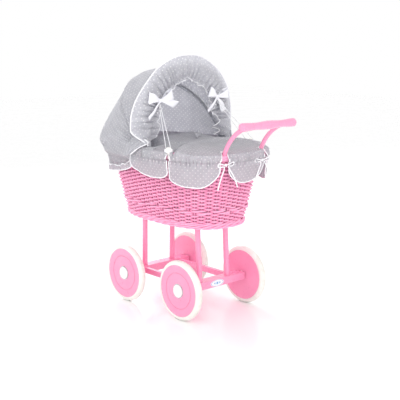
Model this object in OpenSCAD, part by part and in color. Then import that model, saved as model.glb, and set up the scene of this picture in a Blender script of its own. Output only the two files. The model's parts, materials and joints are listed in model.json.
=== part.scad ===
// A doll's pram: a painted wicker basket on a wooden chassis, with a cloth hood that folds back.
// Millimetres. +X is the pram's right, +Y its hood end and +Z up. The floor is z = 0 and the
// origin is under the middle of the whole pram. Behind the handle is -Y.

/* [Wheels] */
// Outer diameter of a tyre
wheel_d = 150; // [140:1:160]
// Width of a tyre
tyre_w = 18.5; // [17:0.5:20]
// Distance between the front and rear axles
wheel_base = 217; // [205:1:230]
// Distance between the middles of the left and right tyres
wheel_track = 218.5; // [216:0.5:224]
// Diameter of a wheel's disc
disc_d = 129.2; // [124:0.2:132]
// Diameter of the cap over a wheel's bolt
cap_d = 32; // [28:1:36]

/* [Chassis] */
// Depth of an axle beam, front to back
beam_depth = 28; // [24:1:32]
// Height of an axle beam
beam_h = 19; // [17:1:22]
// Width of a side rail
rail_w = 10.5; // [8:0.5:14]
// Height of a side rail
rail_h = 14; // [10:1:16]
// Distance of each side rail from the middle
rail_x = 61.6; // [58:0.2:64]
// Diameter of a leg
leg_d = 14; // [12:1:16]
// Distance of each leg from the middle
leg_x = 47; // [42:1:50]

/* [Basket] */
// Height of the basket's foot above the floor
foot_z = 227; // [220:1:235]
// Height of the middle of the rolled rim
rim_z = 405; // [400:1:410]
// Half width of the wall at the foot
foot_half_x = 99; // [94:1:104]
// Half length of the wall at the foot
foot_half_y = 168; // [160:1:172]
// Half width of the wall at the rim
rim_half_x = 130; // [126:1:132]
// Half length of the wall at the rim
rim_half_y = 212; // [208:1:214]
// Thickness of the woven wall
wall_t = 9; // [7:0.5:10]
// How far the rolled rim stands out from the wall
rim_out = 17; // [15:0.5:18]

/* [Handle] */
// Length of the turned grip
grip_l = 179; // [170:1:190]
// Largest diameter of the grip
grip_d = 20; // [18:0.5:22]
// Smallest diameter of the grip, at its two waists
waist_d = 16.4; // [15:0.2:18]
// Diameter of a handle arm
arm_d = 10.5; // [9:0.5:11]
// Distance of each arm from the middle
arm_x = 60; // [56:1:64]

/* [Hood] */
// Height of the pin that both hoops turn on
pivot_z = 424; // [423:0.5:426]
// Half width of the front hoop
front_hoop_r = 139; // [137:0.5:141]
// Length of the front hoop from its pin to its top
front_hoop_reach = 193; // [188:1:198]
// Half width of the rear hoop
rear_hoop_r = 134; // [132:0.5:135]
// Length of the rear hoop from its pin to its top
rear_hoop_reach = 188; // [184:1:192]
// Lean of the front hoop towards the handle
front_lean = 4; // [2:0.5:6]
// Lean of the rear hoop towards the hood end
rear_lean = 39; // [36:0.5:41]
// Outer radius of the gathered brim
brim_r = 165; // [160:1:168]
// Radius of the hood's mouth inside the brim
mouth_r = 106; // [100:1:110]
// Thickness of the hood's cloth
cloth_t = 3; // [2:0.5:3.5]

/* [Hidden] */
$fn = 64;
SLIP = 0.05; // radial clearance of a running fit
GAP = 0.3; // clearance between pieces that do not touch

// Where the chassis sits: its middle is ahead of the whole pram's middle
chassis_y = 25;
axle_z = wheel_d / 2;
beam_half_x = wheel_track / 2 - 11.25;
beam_z = 66;
beam_top_z = beam_z + beam_h;
disc_t = 16;
// The four corners: name, side and end
PLACES = [
    ["front_left", -1, 1], ["front_right", 1, 1], ["rear_left", -1, -1], ["rear_right", 1, -1]];

bolt_d = 8;
bolt_thread_d = 6;
bolt_thread_l = 32;
bolt_head_d = 15;
bolt_head_t = 3;
bolt_head_x = 4;
screw_d = 4;
screw_head_d = 8;
screw_head_t = 3;
screw_bite = 20;
// How far the tops of the legs lean from the beams, front and rear
front_leg_lean = -3;
rear_leg_lean = 8;

foot_mid_y = 26;
rim_mid_y = 30.5;
squareness = 2.7;
wall_swell = 0.25;
sides = 60;
base_t = 8;
border_h = 14;
roll_h = 20;
roll_in = 9;

arm_foot_y = -180.3;
arm_foot_z = 404;
arm_bend_r = 116;
arm_lean = 15;
arm_turn = 57;
tenon_d = 7;
tenon_l = 8;
knob_d = 17;
peg_d = 6;
tie_y = -198;
knob_x = 137;
knob_y = -75;
knob_z = 421;

pivot_y = 30;
pin_d = 5;
hoop_wire_d = 4;
bracket_t = 3;
eye_t = 4;
eye_d = 13;
arch_steps = 24;
// The lowest stretch of the hood's cloth starts this far from the pin
cloth_start = 16;

bow_z = 539;
bow_x = 98;
strand_d = 1.8;

// Valance panels: name, first and last direction round the rim, and depth of the scallop
VALANCES = [
    ["valance_left_front", 181, 201, 50],
    ["valance_left_rear", 204, 246, 68],
    ["valance_rear", 251, 289, 58],
    ["valance_right_rear", 294, 336, 68],
    ["valance_right_front", 339, 359, 50]];

PINK = "#f7a8cf";
CREAM = "#f3f0e2";
WHITE = "#fbfbfb";
GREY = "#cfcfd4";
STEEL = "#b9bcc0";

// ---- Shared shapes ----

// Share of the way from a to b
function mix(a, b, s) = a + (b - a) * s;

// A signed power, for rounded rectangles
function bulge(v, p) = sign(v) * pow(abs(v), p);

// The basket's section at height z: it swells a little outward on the way up
function rise(z) = (z - foot_z) / (rim_z - foot_z);
function swell(s) = s * (1 + wall_swell * (1 - s));
function half_x(z) = mix(foot_half_x, rim_half_x, swell(rise(z)));
function half_y(z) = mix(foot_half_y, rim_half_y, swell(rise(z)));
function mid_y(z) = mix(foot_mid_y, rim_mid_y, rise(z));

// A point at height z in direction t, moved out from the basket's outer face by d
function basket_point(z, t, d) = [
    (half_x(z) + d) * bulge(cos(t), 2 / squareness),
    mid_y(z) + (half_y(z) + d) * bulge(sin(t), 2 / squareness),
    z];

// A thin solid between two grids of points. Rows go round, columns go up.
module skin(outer, inner, wrap) {
    rows = len(outer);
    cols = len(outer[0]);
    back = rows * cols;
    last = wrap ? rows - 1 : rows - 2;
    top = cols - 1;
    function at(i, j) = (i % rows) * cols + j;
    faces = [
        for (i = [0:last], j = [0:cols - 2]) each [
            [at(i, j), at(i + 1, j + 1), at(i + 1, j)],
            [at(i, j), at(i, j + 1), at(i + 1, j + 1)],
            [back + at(i, j), back + at(i + 1, j), back + at(i + 1, j + 1)],
            [back + at(i, j), back + at(i + 1, j + 1), back + at(i, j + 1)]],
        for (i = [0:last]) each [
            [at(i, 0), at(i + 1, 0), back + at(i + 1, 0)],
            [at(i, 0), back + at(i + 1, 0), back + at(i, 0)],
            [at(i + 1, top), at(i, top), back + at(i, top)],
            [at(i + 1, top), back + at(i, top), back + at(i + 1, top)]],
        if (!wrap) for (j = [0:cols - 2]) each [
            [at(0, j + 1), at(0, j), back + at(0, j)],
            [at(0, j + 1), back + at(0, j), back + at(0, j + 1)],
            [at(rows - 1, j), at(rows - 1, j + 1), back + at(rows - 1, j + 1)],
            [at(rows - 1, j), back + at(rows - 1, j + 1), back + at(rows - 1, j)]]];
    polyhedron([for (grid = [outer, inner], row = grid, p = row) p], faces);
}

// A closed band round the basket. Each entry is [height, outer offset, inner offset].
module basket_band(levels) {
    skin(
        [for (i = [0:sides - 1]) [for (v = levels) basket_point(v[0], i * 360 / sides, v[1])]],
        [for (i = [0:sides - 1]) [for (v = levels) basket_point(v[0], i * 360 / sides, v[2])]],
        true);
}

// A plump solid of stacked rings that get smaller towards the top and the bottom
module plump(size, centre, round) {
    steps = 8;
    around = 36;
    rings = [for (k = [0:steps])
        let (a = mix(-78, 78, k / steps), s = pow(cos(a), round))
        [for (i = [0:around - 1]) let (t = i * 360 / around) [
            centre.x + size.x / 2 * s * bulge(cos(t), 2 / 3),
            centre.y + size.y / 2 * s * bulge(sin(t), 2 / 3),
            centre.z + size.z / 2 * sin(a)]]];
    faces = [
        for (k = [0:steps - 1], i = [0:around - 1])
            let (a = k * around + i, b = k * around + (i + 1) % around) each [
            [a, b + around, b],
            [a, a + around, b + around]],
        [for (i = [0:around - 1]) i],
        [for (i = [around - 1:-1:0]) steps * around + i]];
    polyhedron([for (r = rings, p = r) p], faces);
}

// ---- Wheels ----

// Puts a wheel's piece at its corner, with local +X pointing outward
module at_wheel(p) {
    translate([p[1] * wheel_track / 2, chassis_y + p[2] * wheel_base / 2, axle_z])
        mirror([p[1] < 0 ? 1 : 0, 0, 0])
            children();
}

// A cylinder along +X from x
module rod(x, d, l) {
    translate([x, 0, 0])
        rotate([0, 90, 0])
            cylinder(h = l, d = d);
}

module tyre() {
    bead = tyre_w / 2;
    color(CREAM) rotate([0, 90, 0]) rotate_extrude($fn = 96)
        difference() {
            translate([wheel_d / 2 - bead, 0]) circle(r = bead, $fn = 40);
            translate([disc_d / 2 - 30, -tyre_w]) square([30, 2 * tyre_w]);
        }
}

module wheel_disc() {
    recess_x = bolt_head_x - GAP;
    ring_r = 45;
    color(PINK) difference() {
        rod(-disc_t / 2, disc_d, disc_t, $fn = 96);
        rod(-disc_t, bolt_d + 2 * SLIP, 2 * disc_t);
        rod(recess_x, bolt_head_d + 3, disc_t);
        translate([disc_t / 2 - 0.8, 0, 0]) rotate([0, 90, 0]) difference() {
            cylinder(h = 2, r = ring_r + 1, $fn = 96);
            translate([0, 0, -1]) cylinder(h = 4, r = ring_r - 1, $fn = 96);
        }
    }
}

// A thin steel ring under the cap, with one small tab
module hub_clip() {
    clip_t = 0.8;
    tab_w = 5;
    tab_out = 4;
    color(STEEL) difference() {
        union() {
            rod(disc_t / 2, cap_d + 4, clip_t);
            rotate([-140, 0, 0])
                translate([disc_t / 2, -tab_w / 2, 0])
                    cube([clip_t, tab_w, cap_d / 2 + tab_out]);
        }
        rod(0, bolt_head_d + 4, disc_t);
    }
}

module hub_cap() {
    seat = disc_t / 2 + 0.8;
    dome = 4;
    skirt = 1.4;
    hollow_d = bolt_head_d + 4;
    color(WHITE) translate([seat, 0, 0]) rotate([0, 90, 0]) difference() {
        rotate_extrude() {
            square([cap_d / 2, skirt]);
            translate([0, skirt]) intersection() {
                scale([1, dome / (cap_d / 2)]) circle(d = cap_d, $fn = 64);
                square(cap_d);
            }
        }
        translate([0, 0, -1]) cylinder(h = 3, d = hollow_d);
    }
}

// A shoulder bolt: the wheel turns on the shoulder and the thread holds in the beam
module wheel_bolts() {
    shoulder_x = beam_half_x - wheel_track / 2;
    color(STEEL) for (p = PLACES) at_wheel(p) {
        rod(shoulder_x, bolt_d, bolt_head_x - shoulder_x);
        rod(shoulder_x - bolt_thread_l, bolt_thread_d, bolt_thread_l);
        rod(bolt_head_x, bolt_head_d, bolt_head_t);
    }
}

module wheel_spacers() {
    spacer_t = 3;
    color(WHITE) for (p = PLACES) at_wheel(p)
        difference() {
            rod(beam_half_x - wheel_track / 2, 20, spacer_t);
            rod(-20, bolt_d + 2 * SLIP, 20);
        }
}

// ---- Chassis ----

// Middle of an axle, as seen from the side
function axle_y(end) = chassis_y + end * wheel_base / 2;

module axle_beam(end) {
    color(PINK) difference() {
        translate([-beam_half_x, axle_y(end) - beam_depth / 2, beam_z])
            cube([2 * beam_half_x, beam_depth, beam_h]);
        for (p = PLACES) if (p[2] == end) {
            at_wheel(p)
                rod(beam_half_x - wheel_track / 2 - bolt_thread_l, bolt_thread_d, bolt_thread_l);
            translate([p[1] * leg_x, axle_y(end), beam_z - 1]) {
                cylinder(h = beam_h + 2, d = screw_d);
                cylinder(h = screw_head_t + 1, d = screw_head_d);
            }
        }
    }
}

module side_rail(side) {
    rail_l = wheel_base - beam_depth;
    color(PINK)
        translate([side * rail_x - rail_w / 2, chassis_y - rail_l / 2, beam_top_z - rail_h - 0.5])
            cube([rail_w, rail_l, rail_h]);
}

function leg_lean(end) = end > 0 ? front_leg_lean : rear_leg_lean;

// A dowel that leans a little, cut level at both ends
module leg(p) {
    height = foot_z - beam_top_z;
    lean = leg_lean(p[2]);
    spare = 10;
    color(PINK) translate([p[1] * leg_x, axle_y(p[2]), beam_top_z]) difference() {
        intersection() {
            rotate([-atan(lean / height), 0, 0])
                translate([0, 0, -spare])
                    cylinder(h = height + 2 * spare, d = leg_d);
            translate([-leg_d, -4 * leg_d, 0]) cube([2 * leg_d, 8 * leg_d, height]);
        }
        translate([0, 0, -1]) cylinder(h = screw_bite + 1, d = screw_d);
        translate([0, lean, height - screw_bite]) cylinder(h = screw_bite + 1, d = screw_d);
    }
}

// Screws up through the beams and down through the basket's base, into the legs
module frame_screws() {
    color(STEEL) for (p = PLACES) {
        translate([p[1] * leg_x, axle_y(p[2]), beam_z]) {
            cylinder(h = screw_head_t, d = screw_head_d);
            cylinder(h = beam_h + screw_bite, d = screw_d);
        }
        translate([p[1] * leg_x, axle_y(p[2]) + leg_lean(p[2]), foot_z + base_t]) {
            translate([0, 0, -screw_head_t]) cylinder(h = screw_head_t, d = screw_head_d);
            translate([0, 0, -base_t - screw_bite]) cylinder(h = base_t + screw_bite, d = screw_d);
        }
    }
}

module label_plate() {
    label_w = 45;
    label_h = 17;
    label_t = 0.8;
    color(WHITE)
        translate([0, axle_y(-1) - beam_depth / 2, beam_z + beam_h / 2])
            rotate([90, 0, 0])
                scale([1, label_h / label_w, 1]) cylinder(h = label_t, d = label_w);
}

// ---- Basket ----

module basket_base() {
    inset = wall_t + 4;
    color(PINK) difference() {
        translate([0, 0, foot_z]) linear_extrude(height = base_t)
            polygon([for (i = [0:sides - 1])
                let (p = basket_point(foot_z, i * 360 / sides, -inset)) [p.x, p.y]]);
        for (p = PLACES)
            translate([p[1] * leg_x, axle_y(p[2]) + leg_lean(p[2]), foot_z]) {
                translate([0, 0, -1]) cylinder(h = base_t + 2, d = screw_d);
                translate([0, 0, base_t - screw_head_t])
                    cylinder(h = screw_head_t + 1, d = screw_head_d);
            }
    }
}

module basket_foot_border() {
    lean_in = wall_t + 3.5;
    color(PINK) basket_band([
        [foot_z, 1, -lean_in],
        [foot_z + 4, 5, -lean_in],
        [foot_z + border_h - 4, 5, -lean_in],
        [foot_z + border_h, 1, -lean_in]]);
}

module basket_wall() {
    low = foot_z + border_h + 0.1;
    high = rim_z - roll_h / 2 + 1.9;
    steps = 5;
    color(PINK) basket_band([for (k = [0:steps])
        [mix(low, high, k / steps), 0, -wall_t]]);
}

// The rolled rim, with a socket for each handle arm and a seat and a hole for each knob
module basket_rim() {
    low = rim_z - roll_h / 2 + 2;
    color(PINK) difference() {
        basket_band([
            [low, rim_out - 5, 1 - roll_in],
            [low + 6, rim_out, -roll_in],
            [low + roll_h - 6, rim_out, -roll_in],
            [low + roll_h, rim_out - 5, 1 - roll_in]]);
        for (side = [-1, 1]) {
            translate([side * arm_x, arm_foot_y, arm_foot_z])
                rotate([arm_lean + 2, 0, 0]) cylinder(h = 60, d = arm_d + 1.4, center = true);
            translate([side * knob_x, knob_y, knob_z - 30]) cylinder(h = 40, d = peg_d);
            translate([side * knob_x, knob_y, knob_z - knob_d / 2 - GAP])
                cylinder(h = knob_d, d = knob_d + 2 * GAP);
        }
    }
}

// ---- Handle ----

// A bent arm from its socket in the rim to its tenon in the grip
module handle_arm(side) {
    in_socket = 3.2;
    neck = 3;
    color(PINK) translate([side * arm_x, arm_foot_y, arm_foot_z]) {
        translate([0, -arm_bend_r * cos(arm_lean), -arm_bend_r * sin(arm_lean)])
            rotate([90, 0, 90]) rotate([0, 0, arm_lean - in_socket])
                rotate_extrude(angle = arm_turn + in_socket, $fn = 96)
                    translate([arm_bend_r, 0]) circle(d = arm_d, $fn = 32);
        translate(arm_end()) rotate([arm_lean + arm_turn, 0, 0])
            translate([0, 0, -neck]) cylinder(h = tenon_l + neck, d = tenon_d);
    }
}

// The arm's top end, counted from its foot
function arm_end() = let (a = arm_lean + arm_turn) [
    0,
    arm_bend_r * (cos(a) - cos(arm_lean)),
    arm_bend_r * (sin(a) - sin(arm_lean))];

// The grip's middle line, counted from an arm's foot
function grip_axis() = let (a = arm_lean + arm_turn, d = grip_r(arm_x) + 0.5)
    arm_end() + [0, -d * sin(a), d * cos(a)];

// Radius of the turned grip at x: two waists between the middle swell and the ends
function grip_r(x) =
    let (mid = (grip_d + waist_d) / 4, wave = (grip_d - waist_d) / 4)
    mid + wave * cos(360 * x / (grip_l * 0.47));

module handle_grip() {
    steps = 30;
    round_l = 5;
    straight = grip_l / 2 - round_l;
    cap_r = grip_r(straight);
    profile = concat(
        [[0, -grip_l / 2]],
        [for (a = [30:30:90]) [cap_r * sin(a), -straight - round_l * cos(a)]],
        [for (k = [1:steps - 1]) let (x = mix(-straight, straight, k / steps)) [grip_r(x), x]],
        [for (a = [90:-30:30]) [cap_r * sin(a), straight + round_l * cos(a)]],
        [[0, grip_l / 2]]);
    color(PINK) difference() {
        translate([0, arm_foot_y, arm_foot_z] + grip_axis())
            rotate([0, 90, 0]) rotate_extrude() polygon(profile);
        for (side = [-1, 1])
            translate([side * arm_x, arm_foot_y, arm_foot_z] + arm_end())
                rotate([arm_lean + arm_turn, 0, 0])
                    cylinder(h = tenon_l, d = tenon_d);
    }
}

// A ball on a peg that holds the hood's elastic
module knob(side) {
    color(WHITE) translate([side * knob_x, knob_y, knob_z]) {
        sphere(d = knob_d, $fn = 48);
        translate([0, 0, -20]) cylinder(h = 20, d = peg_d);
    }
}

// ---- Bedding ----

// The cloth tub inside the basket, with a soft cuff over the inside of the rim
module liner() {
    low = foot_z + base_t + 8;
    steps = 5;
    high = rim_z - roll_h / 2 - 2;
    color(GREY) basket_band([for (k = [0:steps])
        [mix(low, high, k / steps), -wall_t - 1.5, -wall_t - 5]]);
}

module mattress() {
    color(GREY) translate([0, 0, foot_z + base_t + 4])
        linear_extrude(height = 26)
            polygon([for (i = [0:sides - 1])
                let (p = basket_point(foot_z + base_t, i * 360 / sides, -wall_t - 14)) [p.x, p.y]]);
}

module pillow() {
    color(GREY) plump([150, 92, 80], [0, 138, 308], 0.35);
}

module duvet() {
    color(GREY) plump([204, 246, 76], [0, -24, 388], 0.3);
}

// One hanging panel of the valance, deepest in its middle
module valance(v) {
    steps = 10;
    levels = 3;
    top_z = rim_z - roll_h / 2 + 4;
    color(GREY) skin(
        [for (i = [0:steps]) [for (k = [0:levels]) valance_point(v, i / steps, k / levels, top_z, cloth_t)]],
        [for (i = [0:steps]) [for (k = [0:levels]) valance_point(v, i / steps, k / levels, top_z, 0)]],
        false);
}

function valance_point(v, s, k, top_z, d) =
    let (drop = v[3] * (0.35 + 0.65 * pow(sin(180 * s), 0.6)))
    basket_point(top_z - drop * (1 - k), mix(v[1], v[2], s), rim_out + 1.5 + d);

// A cord tied in a bow at the foot of a handle arm
module arm_tie(side) {
    cord_d = 2.6;
    loop_r = 6;
    tail_l = 36;
    spread = 22;
    color(WHITE) translate([side * arm_x, tie_y, rim_z - 11]) rotate([90, 0, 0])
        linear_extrude(height = cord_d) {
            circle(r = 3.5);
            for (turn = [-1, 1]) {
                translate([turn * (loop_r + 3), 0]) difference() {
                    circle(r = loop_r);
                    circle(r = loop_r - cord_d);
                }
                rotate(turn * spread) translate([-cord_d / 2, -tail_l]) square([cord_d, tail_l]);
            }
        }
}

// ---- Hood ----

// A point on an arch that turns about the hood's pin. lean is its angle back from upright,
// half and reach its half width and height, and t runs from 0 on the left to 1 on the right.
function arch_point(lean, half, reach, t) =
    let (
        legs = (reach - half) - cloth_start,
        bend = 180 * half / 2 / 57.3,
        run = t * (2 * legs + 2 * bend),
        on_arc = run > legs && run < legs + 2 * bend,
        a = (run - legs) / (2 * bend) * 180,
        x = on_arc ? -half * bulge(cos(a), 0.86) : run <= legs ? -half : half,
        s = on_arc ? legs + half * bulge(sin(a), 0.86)
            : run <= legs ? run : 2 * legs + 2 * bend - run)
    [x, pivot_y + (s + cloth_start) * sin(lean), pivot_z + (s + cloth_start) * cos(lean)];

// The cloth between two hoops. Each entry is [lean, half width, reach].
module hood_cloth(arches) {
    color(GREY) skin(
        [for (i = [0:arch_steps]) [for (a = arches)
            arch_point(a[0], a[1] + cloth_t, a[2] + cloth_t, i / arch_steps)]],
        [for (i = [0:arch_steps]) [for (a = arches)
            arch_point(a[0], a[1], a[2], i / arch_steps)]],
        false);
}

module hood_middle_panel() {
    over = hoop_wire_d / 2 + 0.6;
    hood_cloth([
        [0.5 - front_lean, front_hoop_r + over, front_hoop_reach + over],
        [8, front_hoop_r + over, front_hoop_reach + 7],
        [20, front_hoop_r + over - 1, front_hoop_reach + 9],
        [30, rear_hoop_r + over, rear_hoop_reach + 7],
        [rear_lean - 0.5, rear_hoop_r + over, rear_hoop_reach + over]]);
}

module hood_back_panel() {
    over = hoop_wire_d / 2 + 0.6;
    hood_cloth([
        [rear_lean + 0.7, rear_hoop_r + over, rear_hoop_reach + over],
        [47, rear_hoop_r + over + 5, rear_hoop_reach + 12],
        [60, rear_hoop_r + 12, rear_hoop_reach + 20],
        [74, rear_hoop_r + 17, rear_hoop_reach + 38],
        [88, rear_hoop_r + 19, rear_hoop_reach + 54],
        [97, rear_hoop_r + 19, rear_hoop_reach + 55],
        [104, rear_hoop_r + 19, rear_hoop_reach + 48]]);
}

// The frill below the elastic that holds the hood round the basket
module hood_hem() {
    hood_cloth([
        [104.6, rear_hoop_r + 19, rear_hoop_reach + 48],
        [107, rear_hoop_r + 20, rear_hoop_reach + 50],
        [110, rear_hoop_r + 22, rear_hoop_reach + 56]]);
}

// A bent wire from one eye over the top to the other, in a plane that leans by lean
module hoop(half, reach, lean, eye_x) {
    legs = reach - half;
    color(STEEL) translate([0, pivot_y, pivot_z]) rotate([-lean, 0, 0]) {
        translate([0, 0, legs]) rotate([90, 0, 0])
            rotate_extrude(angle = 180, $fn = 96)
                translate([half, 0]) circle(d = hoop_wire_d, $fn = 24);
        for (side = [-1, 1]) {
            translate([side * half, 0, eye_d / 2 - 1])
                cylinder(h = legs - eye_d / 2 + 1, d = hoop_wire_d);
            translate([side * eye_x, 0, 0]) difference() {
                rotate([0, 90, 0]) cylinder(h = eye_t, d = eye_d, center = true);
                rotate([0, 90, 0]) cylinder(h = eye_t + 2, d = pin_d + 2 * SLIP, center = true);
            }
        }
    }
}

module front_hoop() {
    hoop(front_hoop_r, front_hoop_reach, -front_lean, front_hoop_r);
}

module rear_hoop() {
    hoop(rear_hoop_r, rear_hoop_reach, rear_lean, rear_hoop_r);
}

// The plates on the rim that carry the hoops' pins
module hood_brackets() {
    plate_w = 14;
    plate_foot = 9;
    rim_top = rim_z + roll_h / 2 + 2;
    head_t = 2;
    inner_x = rear_hoop_r - eye_t / 2 - 0.5 - bracket_t;
    pin_l = front_hoop_r + eye_t / 2 + 0.5 - inner_x;
    color(STEEL) for (side = [-1, 1])
        translate([0, pivot_y, 0]) mirror([side < 0 ? 1 : 0, 0, 0]) {
            translate([inner_x + bracket_t - plate_foot, -plate_w / 2, rim_top])
                cube([plate_foot, plate_w, 2]);
            translate([inner_x, -plate_w / 2, rim_top])
                cube([bracket_t, plate_w, pivot_z - rim_top]);
            translate([0, 0, pivot_z]) {
                rod(inner_x, plate_w, bracket_t);
                rod(inner_x, pin_d, pin_l);
                rod(inner_x + pin_l, pin_d + 5, head_t);
            }
        }
}

// The wide gathered frill round the hood's mouth
module hood_brim() {
    brim_t = 7;
    stand_off = hoop_wire_d / 2 + 0.5;
    middle = front_hoop_reach - front_hoop_r + 2;
    low = 9;
    color(GREY) translate([0, pivot_y, pivot_z]) rotate([front_lean, 0, 0])
        translate([0, -stand_off, middle]) rotate([90, 0, 0])
            linear_extrude(height = brim_t) difference() {
                union() {
                    circle(r = brim_r, $fn = 96);
                    translate([-brim_r + 8, low - middle]) square([2 * brim_r - 16, middle - low]);
                }
                circle(r = mouth_r, $fn = 96);
                translate([-mouth_r - 6, -brim_r]) square([2 * mouth_r + 12, brim_r]);
                translate([-2 * brim_r, low - middle - 2 * brim_r]) square([4 * brim_r, 2 * brim_r]);
            }
}

// A ribbon bow: two loops, a knot and two tails, in front of the brim
module bow(side) {
    ribbon_t = 8;
    color(WHITE) translate([side * bow_x, pivot_y - 22, bow_z]) rotate([90, 0, 0])
        linear_extrude(height = ribbon_t) {
            polygon([[-4, -4], [-30, -14], [-32, 14], [-4, 5], [4, 5], [32, 14], [30, -14], [4, -4]]);
            polygon([[-3, 0], [3, 0], [30, -34], [12, -36]]);
            polygon([[-3, 0], [3, 0], [-12, -36], [-30, -34]]);
        }
}

// Two strands of elastic from a bow's knot to the loop round a knob's ball
module elastic(side) {
    top = [side * bow_x, pivot_y - 32, bow_z - 8];
    loop_r = peg_d / 2 + strand_d / 2 + 0.2;
    foot = [side * knob_x, knob_y, knob_z + knob_d / 2 + 2];
    color(WHITE) for (end = [-1, 1]) {
        from = foot + [0, end * loop_r, 0];
        to = top + [0, end, 0];
        way = to - from;
        translate(from)
            rotate([0, acos(way.z / norm(way)), atan2(way.y, way.x)])
                cylinder(h = norm(way), d = strand_d, $fn = 16);
    }
}

// ---- The pieces ----

for (p = PLACES) {
    at_wheel(p) wheel_disc();
    at_wheel(p) tyre();
    at_wheel(p) hub_cap();
    at_wheel(p) hub_clip();
    leg(p);
}
axle_beam(1);  // axle_beam_front
axle_beam(-1);  // axle_beam_rear
side_rail(-1);  // side_rail_left
side_rail(1);  // side_rail_right
frame_screws();
wheel_bolts();
wheel_spacers();
label_plate();
basket_base();
basket_foot_border();
basket_wall();
basket_rim();
handle_arm(-1);  // handle_arm_left
handle_arm(1);  // handle_arm_right
handle_grip();
knob(-1);  // knob_left
knob(1);  // knob_right
liner();
mattress();
pillow();
duvet();
for (v = VALANCES)
    valance(v);
arm_tie(-1);  // arm_tie_left
arm_tie(1);  // arm_tie_right
hood_brackets();
front_hoop();
rear_hoop();
hood_brim();
hood_middle_panel();
hood_back_panel();
hood_hem();
bow(-1);  // bow_left
bow(1);  // bow_right
elastic(-1);  // elastic_left
elastic(1);  // elastic_right
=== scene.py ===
"""The looks of a doll's wicker pram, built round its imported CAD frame.

Lengths in this script are millimetres, in the frame's own axes: +X right, +Y hood end, +Z up.
Points become metres only where a mesh is made or a size is handed to the frame.
"""

import json
import math

import bpy
import numpy as np
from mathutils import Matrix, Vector


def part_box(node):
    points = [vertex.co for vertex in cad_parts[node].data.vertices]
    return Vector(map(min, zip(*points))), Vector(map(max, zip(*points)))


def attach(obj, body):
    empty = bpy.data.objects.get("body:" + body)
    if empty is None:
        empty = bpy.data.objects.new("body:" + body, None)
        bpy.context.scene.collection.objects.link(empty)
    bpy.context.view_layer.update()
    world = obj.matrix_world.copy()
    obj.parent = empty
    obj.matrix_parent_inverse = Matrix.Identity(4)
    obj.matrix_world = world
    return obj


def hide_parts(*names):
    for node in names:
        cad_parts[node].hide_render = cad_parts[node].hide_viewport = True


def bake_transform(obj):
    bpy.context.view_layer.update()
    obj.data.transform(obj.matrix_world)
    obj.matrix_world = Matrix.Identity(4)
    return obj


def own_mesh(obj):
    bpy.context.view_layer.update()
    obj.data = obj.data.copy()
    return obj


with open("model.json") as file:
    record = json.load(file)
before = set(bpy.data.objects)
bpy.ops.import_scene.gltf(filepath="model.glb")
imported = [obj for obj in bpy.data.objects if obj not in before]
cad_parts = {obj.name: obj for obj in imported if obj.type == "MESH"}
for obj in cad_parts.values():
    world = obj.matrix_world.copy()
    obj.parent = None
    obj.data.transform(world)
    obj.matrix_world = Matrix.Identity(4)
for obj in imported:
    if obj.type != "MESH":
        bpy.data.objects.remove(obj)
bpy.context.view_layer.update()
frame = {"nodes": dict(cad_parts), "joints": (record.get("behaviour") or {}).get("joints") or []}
MM = 0.001
SCENE = bpy.context.scene


def corner(node, side, axis):
    """One coordinate of a CAD node's box, in millimetres: side 0 is the low corner and 1 the high one."""
    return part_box(node)[side][axis] / MM


# ---- Camera ----

LENS, SENSOR = 78.26, 36
EYE = (-1443.5, -1629.0, 705.4)
LOOKS_AT = (52.7, 25.0, 262.7)


def make_camera():
    data = bpy.data.cameras.new("camera")
    data.lens = LENS
    data.sensor_width = SENSOR
    data.clip_start = 0.1
    eye = bpy.data.objects.new("camera", data)
    eye.location = Vector(EYE) * MM
    target = Vector(LOOKS_AT) * MM
    eye.rotation_euler = (target - eye.location).to_track_quat("-Z", "Y").to_euler()
    SCENE.collection.objects.link(eye)
    SCENE.camera = eye


make_camera()

# ---- Sizes, taken from the frame ----

PIVOT = {j["name"]: j["pos_m"] for j in frame["joints"]}["hood_rear_fold"]
PIVOT_Y, PIVOT_Z = PIVOT[1] / MM, PIVOT[2] / MM
FOOT_Z = corner("basket_foot_border", 0, 2)
RIM_LOW, RIM_HIGH = corner("basket_rim", 0, 2), corner("basket_rim", 1, 2)
RIM_OUT, ROLL_IN = 17.0, 9.0
RIM_Z = RIM_LOW + 8
WALL_TOP = corner("basket_wall", 1, 2)
WALL_T = 9.0
BORDER_TOP = corner("basket_wall", 0, 2)
RIM_HALF_X = corner("basket_rim", 1, 0) - RIM_OUT
RIM_HALF_Y = (corner("basket_rim", 1, 1) - corner("basket_rim", 0, 1)) / 2 - RIM_OUT
RIM_MID_Y = (corner("basket_rim", 1, 1) + corner("basket_rim", 0, 1)) / 2
FOOT_HALF_X, FOOT_HALF_Y, FOOT_MID_Y = 99.0, 168.0, 26.0
SQUARENESS = 2.7
SWELL = 0.25
GATHER_Z = RIM_LOW + 2.5
GATHER_OUT = RIM_OUT + 2.5
KNOB = [(corner("knob_right", 0, i) + corner("knob_right", 1, i)) / 2 for i in (0, 1)]
KNOB_D = corner("knob_right", 1, 1) - corner("knob_right", 0, 1)
KNOB_Z = corner("knob_right", 1, 2) - KNOB_D / 2
ARM_X = (corner("handle_arm_right", 0, 0) + corner("handle_arm_right", 1, 0)) / 2
FRONT_LEAN, REAR_LEAN = -4.0, 39.0
FRONT_HALF, FRONT_REACH = 139.0, 193.0
REAR_HALF, REAR_REACH = 134.0, 188.0
CLOTH_START = 16.0
BRIM_MID = FRONT_REACH - FRONT_HALF + 2
BOW_X = (corner("bow_right", 0, 0) + corner("bow_right", 1, 0)) / 2


# ---- Small maths ----

def power(v, p):
    """A signed power."""
    return np.sign(v) * np.abs(v) ** p


def mix(a, b, s):
    return a + (b - a) * s


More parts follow.
